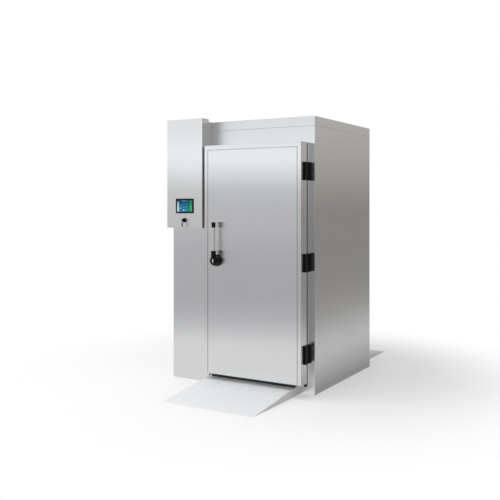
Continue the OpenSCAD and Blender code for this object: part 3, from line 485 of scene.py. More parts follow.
@dataclass(frozen=True)
class Screen(Finish):
    """A lit control screen: teal field, pale strip at the left, green strip at the right, small light signs.

    The box holds the screen's low and high edge in X, then in Z. Each sign has its place and radius as
    shares of the width and height, and its light.
    """

    box: tuple[float, float, float, float]
    signs: tuple[tuple[float, float, float, float], ...] = (
        (0.44, 0.12, 0.045, 1.0),
        (0.25, 0.30, 0.035, 0.75),
        (0.62, 0.14, 0.03, 0.6),
        (0.44, 0.42, 0.03, 0.45),
        (0.25, 0.58, 0.028, 0.4),
        (0.62, 0.42, 0.028, 0.45),
        (0.44, 0.66, 0.028, 0.4),
        (0.62, 0.70, 0.028, 0.4),
    )

    def sockets(self, t: ShaderTree) -> Sockets:
        """Sockets of the screen. Each mark is a product of smooth steps in its own 0 to 1 coordinates."""
        x, _, z = t.axes()
        x0, x1, z0, z1 = self.box
        u, v = (x - x0) * (1.0 / (x1 - x0)), (z - z0) * (1.0 / (z1 - z0))

        def bar(s: Signal, low: float, high: float, soft: float = 0.015) -> Signal:
            """1 between low and high, with soft ends."""
            return s.step(low - soft, low + soft) * s.step(high + soft, high - soft)

        field = t.blend(v.step(0.1, 1.0), (0.010, 0.16, 0.26), (0.003, 0.035, 0.09))
        field = t.blend(u.step(0.6, 0.85) * 0.6, field, (0.004, 0.13, 0.13))
        field = t.blend(bar(v, 0.90, 0.98) * bar(u, 0.25, 0.75) * 0.3, field, (0.10, 0.22, 0.40))
        glow = bar(v, 0.925, 0.955, 0.01) * bar(u, 0.30, 0.58, 0.02) * 0.6
        for at_u, at_v, radius, light in self.signs:
            du, dv = u - at_u, (v - at_v) * 0.62
            glow = glow + (du * du + dv * dv).step(radius**2 * 1.5, radius**2 * 0.5) * light
        field = t.blend(glow.clamped() * 0.8, field, (0.30, 0.66, 0.80))
        left = bar(u, 0.0, 0.135) * bar(v, 0.0, 0.86)
        right = bar(u, 0.855, 0.985) * bar(v, 0.03, 0.99)
        field = t.blend(left, field, t.blend(v.step(0.05, 0.86), (0.44, 0.54, 0.60), (0.30, 0.29, 0.40)))
        field = t.blend(right, field, t.blend(v.step(0.2, 1.0), (0.03, 0.34, 0.07), (0.008, 0.16, 0.04)))
        glass = {"Specular_IOR_Level": 0.1, "Coat_Weight": 0.03}
        return look(field, 0.16, Emission_Color=field, Emission_Strength=0.15, **glass)


@dataclass(frozen=True)
class LampLens(Finish):
    """Opal lamp cover with fine prism lines and a weak glow."""

    pitch: float = 4 * MM

    def sockets(self, t: ShaderTree) -> Sockets:
        """Sockets of the cover."""
        prism = t.math("SINE", t.axes()[1] * (TAU / self.pitch)) * 0.5 + 0.5
        base = t.blend(t.noise(12.0, 3.0) * 0.4, (0.88, 0.89, 0.87), (0.78, 0.79, 0.77))
        glow = {"Emission_Color": (1.0, 1.0, 0.97), "Emission_Strength": 0.25}
        return look(base, 0.3 + prism * 0.1, t.bump(prism, 0.3, 0.3), **glow)


# --- Surfaces ---

IN_PLANE = ((1, 2), (2, 0), (0, 1))


@dataclass
class Shape:
    """Vertices and faces worked out with numpy. Faces are arrays of vertex numbers, one row per face."""

    points: np.ndarray
    faces: list[np.ndarray]

    def __add__(self, other: "Shape") -> "Shape":
        """Both shapes in one."""
        shift = len(self.points)
        return Shape(np.vstack([self.points, other.points]), self.faces + [f + shift for f in other.faces])

    def moved(self, x: float = 0.0, y: float = 0.0, z: float = 0.0) -> "Shape":
        """The shape shifted."""
        return Shape(self.points + np.array([x, y, z]), self.faces)

    def turned(self, order: Sequence[int], signs: Sequence[float]) -> "Shape":
        """The shape with its axes exchanged.

        Args:
            order: which old axis becomes X, Y and Z.
            signs: factor for each new axis.

        Returns:
            The turned shape.
        """
        return Shape(self.points[:, list(order)] * np.array(signs), self.faces)


def together(shapes: Iterable[Shape]) -> Shape:
    """All the shapes in one, with one list of faces per corner count."""
    first, *others = shapes
    total = sum(others, first)
    by_size: dict[int, list[np.ndarray]] = {}
    for f in total.faces:
        by_size.setdefault(f.shape[1], []).append(f)
    return Shape(total.points, [np.vstack(v) for v in by_size.values()])


def grid(points: np.ndarray, close_u: bool = False, close_v: bool = False) -> Shape:
    """A surface through a grid of points.

    Args:
        points: array of (rows, columns, 3).
        close_u: joins the last row to the first.
        close_v: joins the last column to the first.

    Returns:
        The surface in four-sided faces, worked out as one array of corner numbers.
    """
    rows, cols = points.shape[:2]
    r = np.arange(rows if close_u else rows - 1)
    c = np.arange(cols if close_v else cols - 1)
    rr, cc = np.meshgrid(r, c, indexing="ij")
    r2, c2 = (rr + 1) % rows, (cc + 1) % cols
    corner = np.stack([rr * cols + cc, rr * cols + c2, r2 * cols + c2, r2 * cols + cc], axis=-1)
    return Shape(points.reshape(-1, 3), [corner.reshape(-1, 4)])


def capped(points: np.ndarray) -> Shape:
    """A tube through a grid whose columns close, with its first and last row filled."""
    rows, cols = points.shape[:2]
    body = grid(points, close_v=True)
    ring = np.arange(cols)[None, :]
    return Shape(body.points, body.faces + [ring[:, ::-1], (rows - 1) * cols + ring])


def turns(segments: int) -> np.ndarray:
    """Equal angles round a circle."""
    return np.arange(segments) / segments * TAU


def lathe(profile: Sequence[Sequence[float]], segments: int = 64) -> Shape:
    """A turned part about Z: each profile point (radius, height) becomes a circle.

    Args:
        profile: points of radius and height in millimetres; end radii of 0 close the part.
        segments: points round each circle.

    Returns:
        The turned surface.
    """
    p = np.array(profile) * MM
    a = turns(segments)
    circles = [p[:, :1] * np.cos(a), p[:, :1] * np.sin(a), np.repeat(p[:, 1:], segments, axis=1)]
    return grid(np.stack(circles, axis=-1), close_v=True)


def arc(cx: float, cy: float, r: float, a0: float, a1: float, steps: int = 6) -> Pairs:
    """Points of an arc about (cx, cy) from angle a0 to a1 in degrees."""
    a = np.radians(np.linspace(a0, a1, steps + 1))
    return [(float(x), float(y)) for x, y in zip(cx + r * np.cos(a), cy + r * np.sin(a))]


def edge_profile(low: float, high: float, r: float) -> Pairs:
    """A plate's edge between two depths, as points of inset and depth: a quarter circle at each face."""
    return arc(r, low + r, r, -90, -180, 4) + arc(r, high - r, r, 180, 90, 4)


def rounded_loop(w: float, h: float, r: float, steps: int) -> np.ndarray:
    """A rectangle of width w and height h about the origin, with corner radius r, as an (n, 2) loop."""
    corner_arcs = [
        arc(cx * (w / 2 - r), cy * (h / 2 - r), r, a, a + 90, steps)
        for cx, cy, a in ((1, 1, 0), (-1, 1, 90), (-1, -1, 180), (1, -1, 270))
    ]
    return np.concatenate(corner_arcs)


def slab(lo: Sequence[float], hi: Sequence[float], axis: int, edge: float, corner: float) -> Shape:
    """A plate with rounded edges: its edge profile is carried round its outline.

    Args:
        lo: lowest corner.
        hi: highest corner.
        axis: the axis through the plate's thickness.
        edge: radius of the edges along both faces, in millimetres.
        corner: radius of the outline's corners, in millimetres.

    Returns:
        The closed plate.
    """
    size, mid = np.subtract(hi, lo), np.add(hi, lo) / 2
    a, b = IN_PLANE[axis]
    rows = []
    for inset, depth in edge_profile(-size[axis] / 2, size[axis] / 2, min(edge * MM, 0.49 * size[axis])):
        r = max(corner * MM - inset, 0.1 * MM)
        loop = rounded_loop(size[a] - 2 * inset, size[b] - 2 * inset, r, 4)
        row = np.zeros((len(loop), 3))
        row[:, a], row[:, b], row[:, axis] = loop[:, 0], loop[:, 1], depth
        rows.append(row)
    return capped(np.array(rows)).moved(*mid)


def window_slab(
    lo: Sequence[float], hi: Sequence[float], axis: int, hole: Sequence[float], edge: float
) -> Shape:
    """A plate with a rectangular hole: a ring profile carried round the outline, with mitred corners.

    Args:
        lo: lowest corner.
        hi: highest corner.
        axis: the axis through the thickness.
        hole: the hole's low and high on the first in-plane axis, then low and high on the second.
        edge: radius of the outer edges, in millimetres.

    Returns:
        The closed ring.
    """
    a, b = IN_PLANE[axis]
    rows = [
        (lo[a] + inset, hi[a] - inset, lo[b] + inset, hi[b] - inset, depth)
        for inset, depth in edge_profile(lo[axis], hi[axis], edge * MM)
    ]
    a0, a1, b0, b1, depth = np.array(rows + [(*hole, hi[axis]), (*hole, lo[axis])]).T
    pts = np.zeros((len(depth), 4, 3))
    pts[:, :, a] = np.stack([a0, a1, a1, a0], axis=-1)
    pts[:, :, b] = np.stack([b0, b0, b1, b1], axis=-1)
    pts[:, :, axis] = depth[:, None]
    return grid(pts, close_u=True, close_v=True)


def strip(profile: Sequence[Sequence[float]], start: float, end: float) -> Shape:
    """A bar: a closed profile of Y and Z, carried along X from start to end and closed at both ends."""
    pts = np.zeros((2, len(profile), 3))
    pts[:, :, 1:] = profile
    pts[0, :, 0], pts[1, :, 0] = start, end
    return capped(pts)


def tube(path: np.ndarray, radius: float, closed: bool = False, segments: int = 8) -> Shape:
    """A round wire: a circle carried along a path, square to the path's direction at each point.

    Args:
        path: (n, 3) points.
        radius: of the wire, in millimetres.
        closed: joins the end to the start.
        segments: points round the wire.

    Returns:
        The wire's surface.
    """
    if closed:
        direction = np.roll(path, -1, axis=0) - np.roll(path, 1, axis=0)
    else:
        direction = np.gradient(path, axis=0)
    direction /= np.linalg.norm(direction, axis=1)[:, None]
    along_x = np.abs(direction[:, 0]).max() >= 0.9
    side = np.cross(direction, (0.0, 1.0, 0.31) if along_x else (1.0, 0.0, 0.0))
    side /= np.linalg.norm(side, axis=1)[:, None]
    up = np.cross(side, direction)
    a = turns(segments)[None, :, None]
    pts = path[:, None, :] + radius * MM * (np.cos(a) * side[:, None, :] + np.sin(a) * up[:, None, :])
    return grid(pts, close_u=True, close_v=True) if closed else capped(pts)


# --- Making pieces ---


class Workshop:
    """Turns shapes into pieces that ride on their CAD bodies."""

    def __init__(self) -> None:
        """Reads which body and slot each CAD node has."""
        record = frame["record"]
        self.body = {n: b for b, nodes in record["behaviour"]["bodies"].items() for n in nodes}
        self.slot = {s["node"]: s["material_slot"] for s in record["subparts"]}
        self.finishes: dict[str, bpy.types.Material] = {}
        self.replaced: set[str] = set()

    def finish(self, style: Finish) -> bpy.types.Material:
        """The shared material of a finish, built once."""
        if style.name not in self.finishes:
            self.finishes[style.name] = style.material()
        return self.finishes[style.name]

    def add(self, name: str, shape: Shape, style: Finish, *nodes: str) -> None:
        """Makes a piece of a closed shape.

        Args:
            name: the piece's name.
            shape: its surface.
            style: its finish.
            nodes: the CAD nodes it stands for; the first gives its body.
        """
        mesh = bpy.data.meshes.new(name)
        mesh.from_pydata(shape.points.tolist(), [], [row for f in shape.faces for row in f.tolist()])
        bm = bmesh.new()
        bm.from_mesh(mesh)
        bmesh.ops.remove_doubles(bm, verts=bm.verts, dist=WELD)
        bmesh.ops.dissolve_degenerate(bm, edges=bm.edges, dist=WELD / 10)
        bmesh.ops.recalc_face_normals(bm, faces=bm.faces)
        bm.to_mesh(mesh)
        bm.free()
        self._dress(mesh, style, nodes)

    def refined(self, node: str, style: Finish, bevel: float = 0.0, steps: int = 2) -> None:
        """Makes a merged copy of a CAD node with smooth curves and broken edges.

        Args:
            node: the CAD node, which the copy replaces.
            style: its finish.
            bevel: width of the broken edges in millimetres, or 0.
            steps: facets across a broken edge.
        """
        mesh = bpy.data.meshes.new(node + "_form")
        bm = bmesh.new()
        bm.from_mesh(frame["nodes"][node].data)
        bmesh.ops.remove_doubles(bm, verts=bm.verts, dist=WELD)
        bmesh.ops.dissolve_limit(
            bm, angle_limit=FLAT_ANGLE, verts=bm.verts, edges=bm.edges, use_dissolve_boundaries=False
        )
        bm.to_mesh(mesh)
        bm.free()
        self._dress(mesh, style, [node], bevel, steps)

    def _dress(
        self, mesh: bpy.types.Mesh, style: Finish, nodes: Sequence[str], bevel: float = 0.0, steps: int = 0
    ) -> None:
        """Links a mesh, gives it its finish, shading and body, and logs it."""
        obj = bpy.data.objects.new(mesh.name, mesh)
        bpy.context.scene.collection.objects.link(obj)
        mesh.materials.clear()
        mesh.materials.append(self.finish(style))
        mesh.shade_smooth()
        mesh.set_sharp_from_angle(angle=SHARP_ANGLE)
        if bevel:
            edges = obj.modifiers.new("edges", "BEVEL")
            edges.width, edges.segments = bevel * MM, steps
            edges.limit_method, edges.angle_limit = "ANGLE", SHARP_ANGLE
            edges.harden_normals = edges.use_clamp_overlap = True
        else:
            obj.modifiers.new("flats", "WEIGHTED_NORMAL").keep_sharp = True
        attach(obj, self.body[nodes[0]])
        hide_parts(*nodes)
        self.replaced.update(nodes)
        log.info("%s: %d faces, for %s", mesh.name, len(mesh.polygons), ", ".join(nodes))

    def dress_rest(self, style: Finish) -> None:
        """Gives each CAD node that still shows a finish."""
        for node, obj in frame["nodes"].items():
            if node not in self.replaced:
                obj.data.materials.clear()
                obj.data.materials.append(self.finish(style))
                log.info("%s: CAD node with %s", node, style.name)


def corners(node: str) -> tuple[np.ndarray, np.ndarray]:
    """A CAD node's lowest and highest corner as arrays."""
    lo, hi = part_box(node)
    return np.array(lo), np.array(hi)


class Side(Enum):
    """The two ends of the pass-through cabinet. The rear door is the front one, turned half round."""

    FRONT = "front_"
    REAR = "rear_"

    def name_of(self, part: str) -> str:
        """The node or piece name of a part on this side."""
        return self.value + part

    def put(self, shape: Shape) -> Shape:
        """A shape made for the front door, brought to this side."""
        if self is Side.FRONT:
            return shape
        across = corners("front_door_skin")[0][0] + corners("rear_door_skin")[1][0]
        return shape.turned((0, 1, 2), (-1.0, -1.0, 1.0)).moved(x=float(across))


# --- Finishes in use ---

PANEL = BrushedSteel("panel_steel")
PANEL_FLAT = BrushedSteel("ceiling_steel", grain=Grain.ALONG_Y)
DECK = BrushedSteel("deck_steel", (0.66, 0.665, 0.67), roughness=0.42, grain=Grain.ALONG_Y, stretch=0.3)
FRAME = BrushedSteel("frame_steel", (0.72, 0.725, 0.73), roughness=0.24)
COLUMN = BrushedSteel("column_steel", metal=0.95)
BOX = BrushedSteel("control_box_steel", (0.76, 0.765, 0.765), metal=0.9)
RAMP = BlastedSteel("ramp_steel")
BLACK = MouldedPlastic("black_plastic", (0.0025,) * 3, roughness=0.3, rub=0.03, shine=0.14, coat=0.04)
HINGE = MouldedPlastic("hinge_plastic", (0.002,) * 3, roughness=0.4, rub=0.03, shine=0.1)
GLOSS = MouldedPlastic("bezel_plastic", (0.004, 0.004, 0.005), 0.2, texture=0.03, rub=0.1, shine=0.2)
FAN = MouldedPlastic("fan_plastic", (0.05, 0.052, 0.055), roughness=0.5)
WHITE = MouldedPlastic("white_plastic", (0.78, 0.79, 0.77), roughness=0.4, rub=0.15)
GASKET = Rubber("gasket_rubber", (0.03, 0.03, 0.031))
SEAL = Rubber("seal_rubber")
FOAM = Foam("panel_foam")
BAR = SmoothMetal("bar_chrome", (0.80, 0.80, 0.80), roughness=0.12, staining=0.06)
LOCK = SmoothMetal("lock_nickel", (0.80, 0.78, 0.73), roughness=0.24, stain=(0.45, 0.40, 0.30))
KEY = SmoothMetal("key_metal", (0.02, 0.02, 0.02), roughness=0.35, stain=(0.08, 0.075, 0.07))
COPPER = SmoothMetal("pipe_copper", (0.80, 0.42, 0.27), roughness=0.3, stain=(0.36, 0.20, 0.12), staining=0.5)
FINS = SmoothMetal("fin_aluminium", (0.80, 0.81, 0.82), roughness=0.34, stain=(0.6, 0.6, 0.6), staining=0.2)
WIRE = Paint("guard_paint", (0.16, 0.165, 0.17))
MOTOR = Paint("motor_paint", (0.05, 0.052, 0.056), roughness=0.5)
PLATE = Zinc("zinc_plate")


# --- Sub-assemblies ---


@dataclass
class Cabinet:
    """Insulated panels, door frames, ramps, column and fittings. The edge radius is in millimetres."""

    edge: float = 2.2
    doorway: tuple[float, float, float, float] = (82 * MM, 2142 * MM, -236.5 * MM, 597.5 * MM)

    def build(self, shop: Workshop) -> None:
        """Makes the panels with rounded folds, and breaks the edges of frames, ramps and fittings."""
        for node, axis, style in (
            ("left_wall_skin", 0, PANEL),
            ("right_wall_skin", 0, PANEL),
            ("ceiling_skin", 2, PANEL_FLAT),
            ("floor_skin", 2, DECK),
        ):
            plate = slab(*corners(node), axis, self.edge, self.edge)
            shop.add(node.replace("_skin", "_panel"), plate, style, node)
        for side in Side:
            node = side.name_of("wall_skin")
            wall = window_slab(*corners(node), 1, self.doorway, self.edge)
            shop.add(side.name_of("wall_panel"), wall, PANEL, node)
            shop.refined(side.name_of("door_frame"), FRAME, 0.8)
            shop.refined(side.name_of("ramp"), RAMP, 1.0)
        cover = slab(*corners("column_cover"), 1, self.edge, self.edge)
        shop.add("column_panel", cover, COLUMN, "column_cover")
        shop.refined("door_keepers", FRAME, 0.8)
        shop.refined("bumper_rails", FRAME, 1.0)
        shop.refined("cable_gland", BLACK, 0.6)
        shop.refined("service_pipes", COPPER, 0.4)


@dataclass
class Door:
    """One insulated leaf: pressed outer skin with its groove, liner, gasket, sweep seal and hinges.

    The edge radius is in millimetres.
    """

    side: Side
    edge: float = 2.5
    rim_side: float = 34 * MM
    rim_top: float = 41 * MM
    groove_w: float = 5 * MM
    groove_d: float = 4 * MM
    gasket_out: float = 6 * MM
    gasket_w: float = 22 * MM
    gasket_t: float = 15.7 * MM

    def _face(self, lo: np.ndarray, hi: np.ndarray) -> Shape:
        """The outer skin as a height field over X and Z.

        The depth at a point is the greatest of three: the rounding of the side edges, that of the top and
        bottom edges, and the groove, which depends on the least distance inside the rim line.

        Args:
            lo: the skin's lowest corner.
            hi: its highest corner.

        Returns:
            The closed skin.
        """
        width, depth, height = hi - lo
        e = self.edge * MM
        turn = np.linspace(0.0, math.pi / 2, 5)
        out, back = e - e * np.cos(turn), e - e * np.sin(turn)
        share = np.array([-0.25, 0.0, 0.12, 0.28, 0.5, 0.72, 0.88, 1.0, 1.25])
        fall = np.interp(share, [0.0, 0.28, 0.72, 1.0], [0.0, 1.0, 1.0, 0.0]) * self.groove_d

        side_x = np.concatenate([[0.0], out, self.rim_side + share * self.groove_w])
        side_y = np.concatenate([[depth], back, np.zeros(len(share))])
        xs = np.concatenate([side_x, [width / 2], (width - side_x)[::-1]])
        xd = np.concatenate([side_y, [0.0], side_y[::-1]])
        top_z = np.concatenate([[0.0], out, self.rim_top + share * self.groove_w])
        zs = np.concatenate([[0.0], out, np.linspace(0.2, height - 0.2, 6), (height - top_z)[::-1]])
        zd = np.concatenate([[depth], back, np.zeros(6), side_y[::-1]])
        x, z = np.meshgrid(xs, zs)
        inside = np.minimum(np.minimum(x, width - x) - self.rim_side, height - z - self.rim_top)
        groove = np.interp(inside / self.groove_w, share, fall)
        y = np.maximum(np.maximum(*np.meshgrid(xd, zd)), groove)
        made = grid(np.stack([lo[0] + x, lo[1] + y, lo[2] + z], axis=-1))
        n = np.arange(x.size).reshape(x.shape)
        rim = np.concatenate([n[0, :], n[1:, -1], n[-1, -2::-1], n[-2:0:-1, 0]])
        return Shape(made.points, made.faces + [rim[None, :]])

    def _steel(self) -> BrushedSteel:
        """The finish of the outer skin, with painted shade along its groove up both sides and across the top.
        """
        lo, hi = corners(self.side.name_of("door_skin"))
        inset = self.rim_side + self.groove_w / 2
        left, right = float(lo[0]) + inset, float(hi[0]) - inset
        foot, top = float(lo[2]), float(hi[2]) - self.rim_top - self.groove_w / 2
        # Lines of painted shade along the pressed groove.
        shaded_grooves = (ShadedGroove(0, left, 2, foot, top), ShadedGroove(0, right, 2, foot, top), ShadedGroove(2, top, 0, left, right))
        return BrushedSteel(self.side.name_of("door_steel"), (0.755, 0.76, 0.765), shaded_grooves=shaded_grooves)

    def _gasket(self, lo: np.ndarray, hi: np.ndarray, foot: float) -> Shape:
        """The magnetic gasket: a foot and a bellows, carried up one side, over and down the other.

        Args:
            lo: the liner's lowest corner.
            hi: its highest corner.
            foot: height of the lower ends, which hang past the leaf.

        Returns:
            The closed gasket. Its section is even, with each point's distance inside the edge and depth.
        """
        w, t = self.gasket_w, self.gasket_t
        half = np.array(
            [
                (0.0, 0.0),
                (0.0, 2.2 * MM),
                (1.2 * MM, 3.6 * MM),
                (w * 0.27, 3.9 * MM),
                (w * 0.25, 6.5 * MM),
                (w * 0.31, 8.2 * MM),
                (w * 0.25, 10.0 * MM),
                (w * 0.25, t - 1.2 * MM),
                (w * 0.29, t),
            ]
        )
        section = np.concatenate([half, ((w, 0.0) + half * (-1.0, 1.0))[::-1]])
        d, y = self.gasket_out + section[:, 0], hi[1] + section[:, 1]
        z0, z1 = np.full_like(d, foot), hi[2] - d
        path = [(lo[0] + d, z0), (lo[0] + d, z1), (hi[0] - d, z1), (hi[0] - d, z0)]
        return capped(np.array([np.stack([px, y, pz], axis=-1) for px, pz in path]))

    def _sweep(self, lo: np.ndarray, hi: np.ndarray) -> Shape:
        """The sweep seal: a ribbed rubber section in Y and Z, carried along X between two corners."""
        y0, y1, z0, z1 = lo[1], hi[1], lo[2], hi[2]
        f0, f1 = y0 + 6 * MM, y1 - 6 * MM
        ribs = np.linspace(z0 + 4 * MM, z1 - 8 * MM, 9)
        section = [(f0 + 4 * MM, z0), (f0 + 1 * MM, z0 + 1 * MM)]
        section += [(f0 + (1.2 * MM if i % 2 else 0.0), z) for i, z in enumerate(ribs)]
        section += [(y0, z1 - 6 * MM), (y0, z1), (y1, z1), (y1, z1 - 6 * MM)]
        section += [(f1, z1 - 8 * MM), (f1, z0 + 2 * MM), (f1 - 4 * MM, z0)]
        return strip(section, lo[0], hi[0])

    def build(self, shop: Workshop) -> None:
        """Makes the leaf's pieces from the front node boxes and brings them to this side."""
        lo, hi = corners("front_door_liner")
        foot = float(corners("front_door_gasket")[0][2])
        for piece, shape, style, node in (
            ("door_outer", self._face(*corners("front_door_skin")), self._steel(), "door_skin"),
            ("door_inner", slab(lo, hi, 1, self.edge, self.edge), PANEL, "door_liner"),
            ("gasket", self._gasket(lo, hi, foot), GASKET, "door_gasket"),
            ("sweep", self._sweep(*corners("front_door_sweep")), SEAL, "door_sweep"),
        ):
            shop.add(self.side.name_of(piece), self.side.put(shape), style, self.side.name_of(node))
        shop.refined(self.side.name_of("hinge_leaves"), HINGE, 2.0, steps=3)


@dataclass
class Handle:
    """Lever handle: base plate, domed hub, sleeve, tubular bar, cap and lock insert. Sizes in millimetres."""

    side: Side
    plate_r: float = 53
    plate_t: float = 12
    hub_r: float = 47
    hub_d: float = 72
    dome_h: float = 36
    flat_r: float = 34.6
    bar_off: float = 59
    bar_r: float = 14
    sleeve_r: float = 22.5
    sleeve_top: float = 90
    length: float = 347
    cap_len: float = 48
    cap_r: float = 18.5

    def _plate(self) -> Pairs:
        """Section of the base plate: a rounded disc with a shallow ring near its rim."""
        r, t = self.plate_r, self.plate_t
        rim = arc(r - 3.5, t - 3.5, 3.5, 0, 90)
        ring = [(r - 5, t), (r - 5.4, t - 0.5), (r - 5.8, t)]
        return [(0.0, 0.0), (r - 0.4, 0.0), (r, 0.4), *rim, *ring, (0.0, t)]

    def _hub(self) -> Pairs:
        """Section of the hub: a short drum that turns into a dome with a flat front."""
        r, top = self.hub_r, self.hub_d
        foot = self.plate_t + 0.3
        cheek = arc(0.0, top - self.dome_h, r, 0, math.degrees(math.asin(self.flat_r / r)), 14)
        flat = [(cheek[-1][0] - 2.0, top - 0.25), (cheek[-1][0] - 4.0, top), (0.0, top)]
        return [(0.0, foot), (r - 0.8, foot), (r, foot + 0.8), *cheek, *flat]

    def _sleeve(self) -> Pairs:
        """Section of the sleeve about the bar, with a rounded foot and lip and one shallow groove."""
        r, top = self.sleeve_r, self.sleeve_top
        foot = arc(r - 4, 24.5, 4, -90, 0, 5)
        groove = [(r, 52), (r - 0.7, 52.6), (r - 0.7, 53.6), (r, 54.2)]
        lip = arc(r - 2.5, top - 2.5, 2.5, 0, 90, 5)
        mouth = [(self.bar_r + 0.2, top - 0.6), (0.0, top - 1)]
        return [(0.0, 20.5), *foot, *groove, *lip, *mouth]

    def _bar(self) -> Pairs:
        """Section of the bar."""
        low, high = 55, self.length - 12
        return [(0.0, low), (self.bar_r, low), (self.bar_r, high), (0.0, high)]

    def _cap(self) -> Pairs:
        """Section of the cap: a rounded knob with a shallow waist and one ring."""
        r, z0, z1 = self.cap_r, self.length - self.cap_len, self.length
        low = arc(r - 2, z0 + 2, 2, -90, 0, 4)
        waist = [(r - 0.5, z0 + 12), (r - 0.8, z0 + 22), (r - 0.4, z0 + 32)]
        high = arc(r - 6, z1 - 6, 6, 0, 90, 7)
        return [(0.0, z0), *low, *waist, *high, (0.0, z1)]

    def build(self, shop: Workshop) -> None:
        """Makes the turned parts, lays plate and hub on the leaf, and stands the others along the bar."""
        name = self.side.name_of
        lo, hi = corners("front_handle_plate")
        x, leaf, z = float(lo[0] + hi[0]) / 2, float(hi[1]), float(lo[2] + hi[2]) / 2
        plate, hub = (
            lathe(section, 96).turned((0, 2, 1), (1.0, -1.0, 1.0)).moved(x, leaf, z)
            for section in (self._plate(), self._hub())
        )
        sleeve, bar, cap = (
            lathe(section).moved(x, leaf - self.bar_off * MM, z)
            for section in (self._sleeve(), self._bar(), self._cap())
        )
        for part, shape, style, node in (
            ("rosette", plate, BLACK, "handle_plate"),
            ("hub", hub + sleeve, BLACK, "handle_hub"),
            ("bar", bar, BAR, "handle_bar"),
            ("cap", cap, BLACK, "handle_cap"),
        ):
            shop.add(name("handle_" + part + "_form"), self.side.put(shape), style, name(node))
        shop.refined(name("handle_lock"), LOCK, 0.5)
        shop.refined(name("spindle"), FRAME, 0.8)


@dataclass
class Controls:
    """Control box, display, key switch and the switchgear behind the cover."""

    bezel: tuple[float, float, float] = (203 * MM, 137 * MM, 6 * MM)
    border: float = 15 * MM
    proud: float = 5 * MM
    module_in: float = 7 * MM
    lever: float = 1.5 * MM

    def _bezel(self, lo: np.ndarray, hi: np.ndarray, face: float) -> Shape:
        """The bezel: rounded outlines at growing insets, from its back over its face to the screen.

        Args:
            lo: the bezel's lowest corner.
            hi: its highest corner.
            face: where the cover's face lies in Y.

        Returns:
            The frame, whose last outline lies behind the screen, and a plate behind it for the module.
        """
        (w, h, r), b = self.bezel, self.border
        front = face - self.proud
        rows = [(0.0, face), (0.0, front + 2 * MM)]
        rows += [(x, front + y) for x, y in arc(2 * MM, 2 * MM, 2 * MM, 180, 270, 5)]
        rows += [(b - 0.8 * MM, front), (b - 0.2 * MM, front + 0.3 * MM)]
        rows += [(b, front + 0.9 * MM), (b, front + 3.9 * MM)]
        pts = []
        for inset, y in rows:
            loop = rounded_loop(w - 2 * inset, h - 2 * inset, max(r - inset, 0.5 * MM), 5)
            pts.append(np.insert(loop, 1, y, axis=1))
        ring = capped(np.array(pts)).moved(x=(lo[0] + hi[0]) / 2, z=(lo[2] + hi[2]) / 2)
        back = np.array([self.module_in, 0.0, self.module_in])
        return ring + slab((lo[0], face, lo[2]) + back, hi - back, 1, 1.0, 2.0)

    def build(self, shop: Workshop) -> None:
        """Makes the controls."""
        shop.refined("control_housing", BOX, 0.7)
        shop.refined("control_cover", BOX, 0.7)
        shop.refined("mounting_plate", PLATE, 0.5)
        top, face = corners("control_housing")[1][2], corners("switchgear")[0][1] + self.lever
        shop.refined("switchgear", Switches("switchgear_plastic", float(top), float(face)), 0.8)
        bezel = self._bezel(*corners("display_bezel"), corners("control_cover")[0][1])
        shop.add("display_frame", bezel, GLOSS, "display_bezel")
        lo, hi = corners("display_screen")
        screen = Screen("control_screen", (float(lo[0]), float(hi[0]), float(lo[2]), float(hi[2])))
        shop.add("display_glass", slab(lo, hi, 1, 0.3, 0.3), screen, "display_screen")
        shop.refined("key_switch", BLACK, 0.4)
        shop.refined("key", KEY, 0.3)


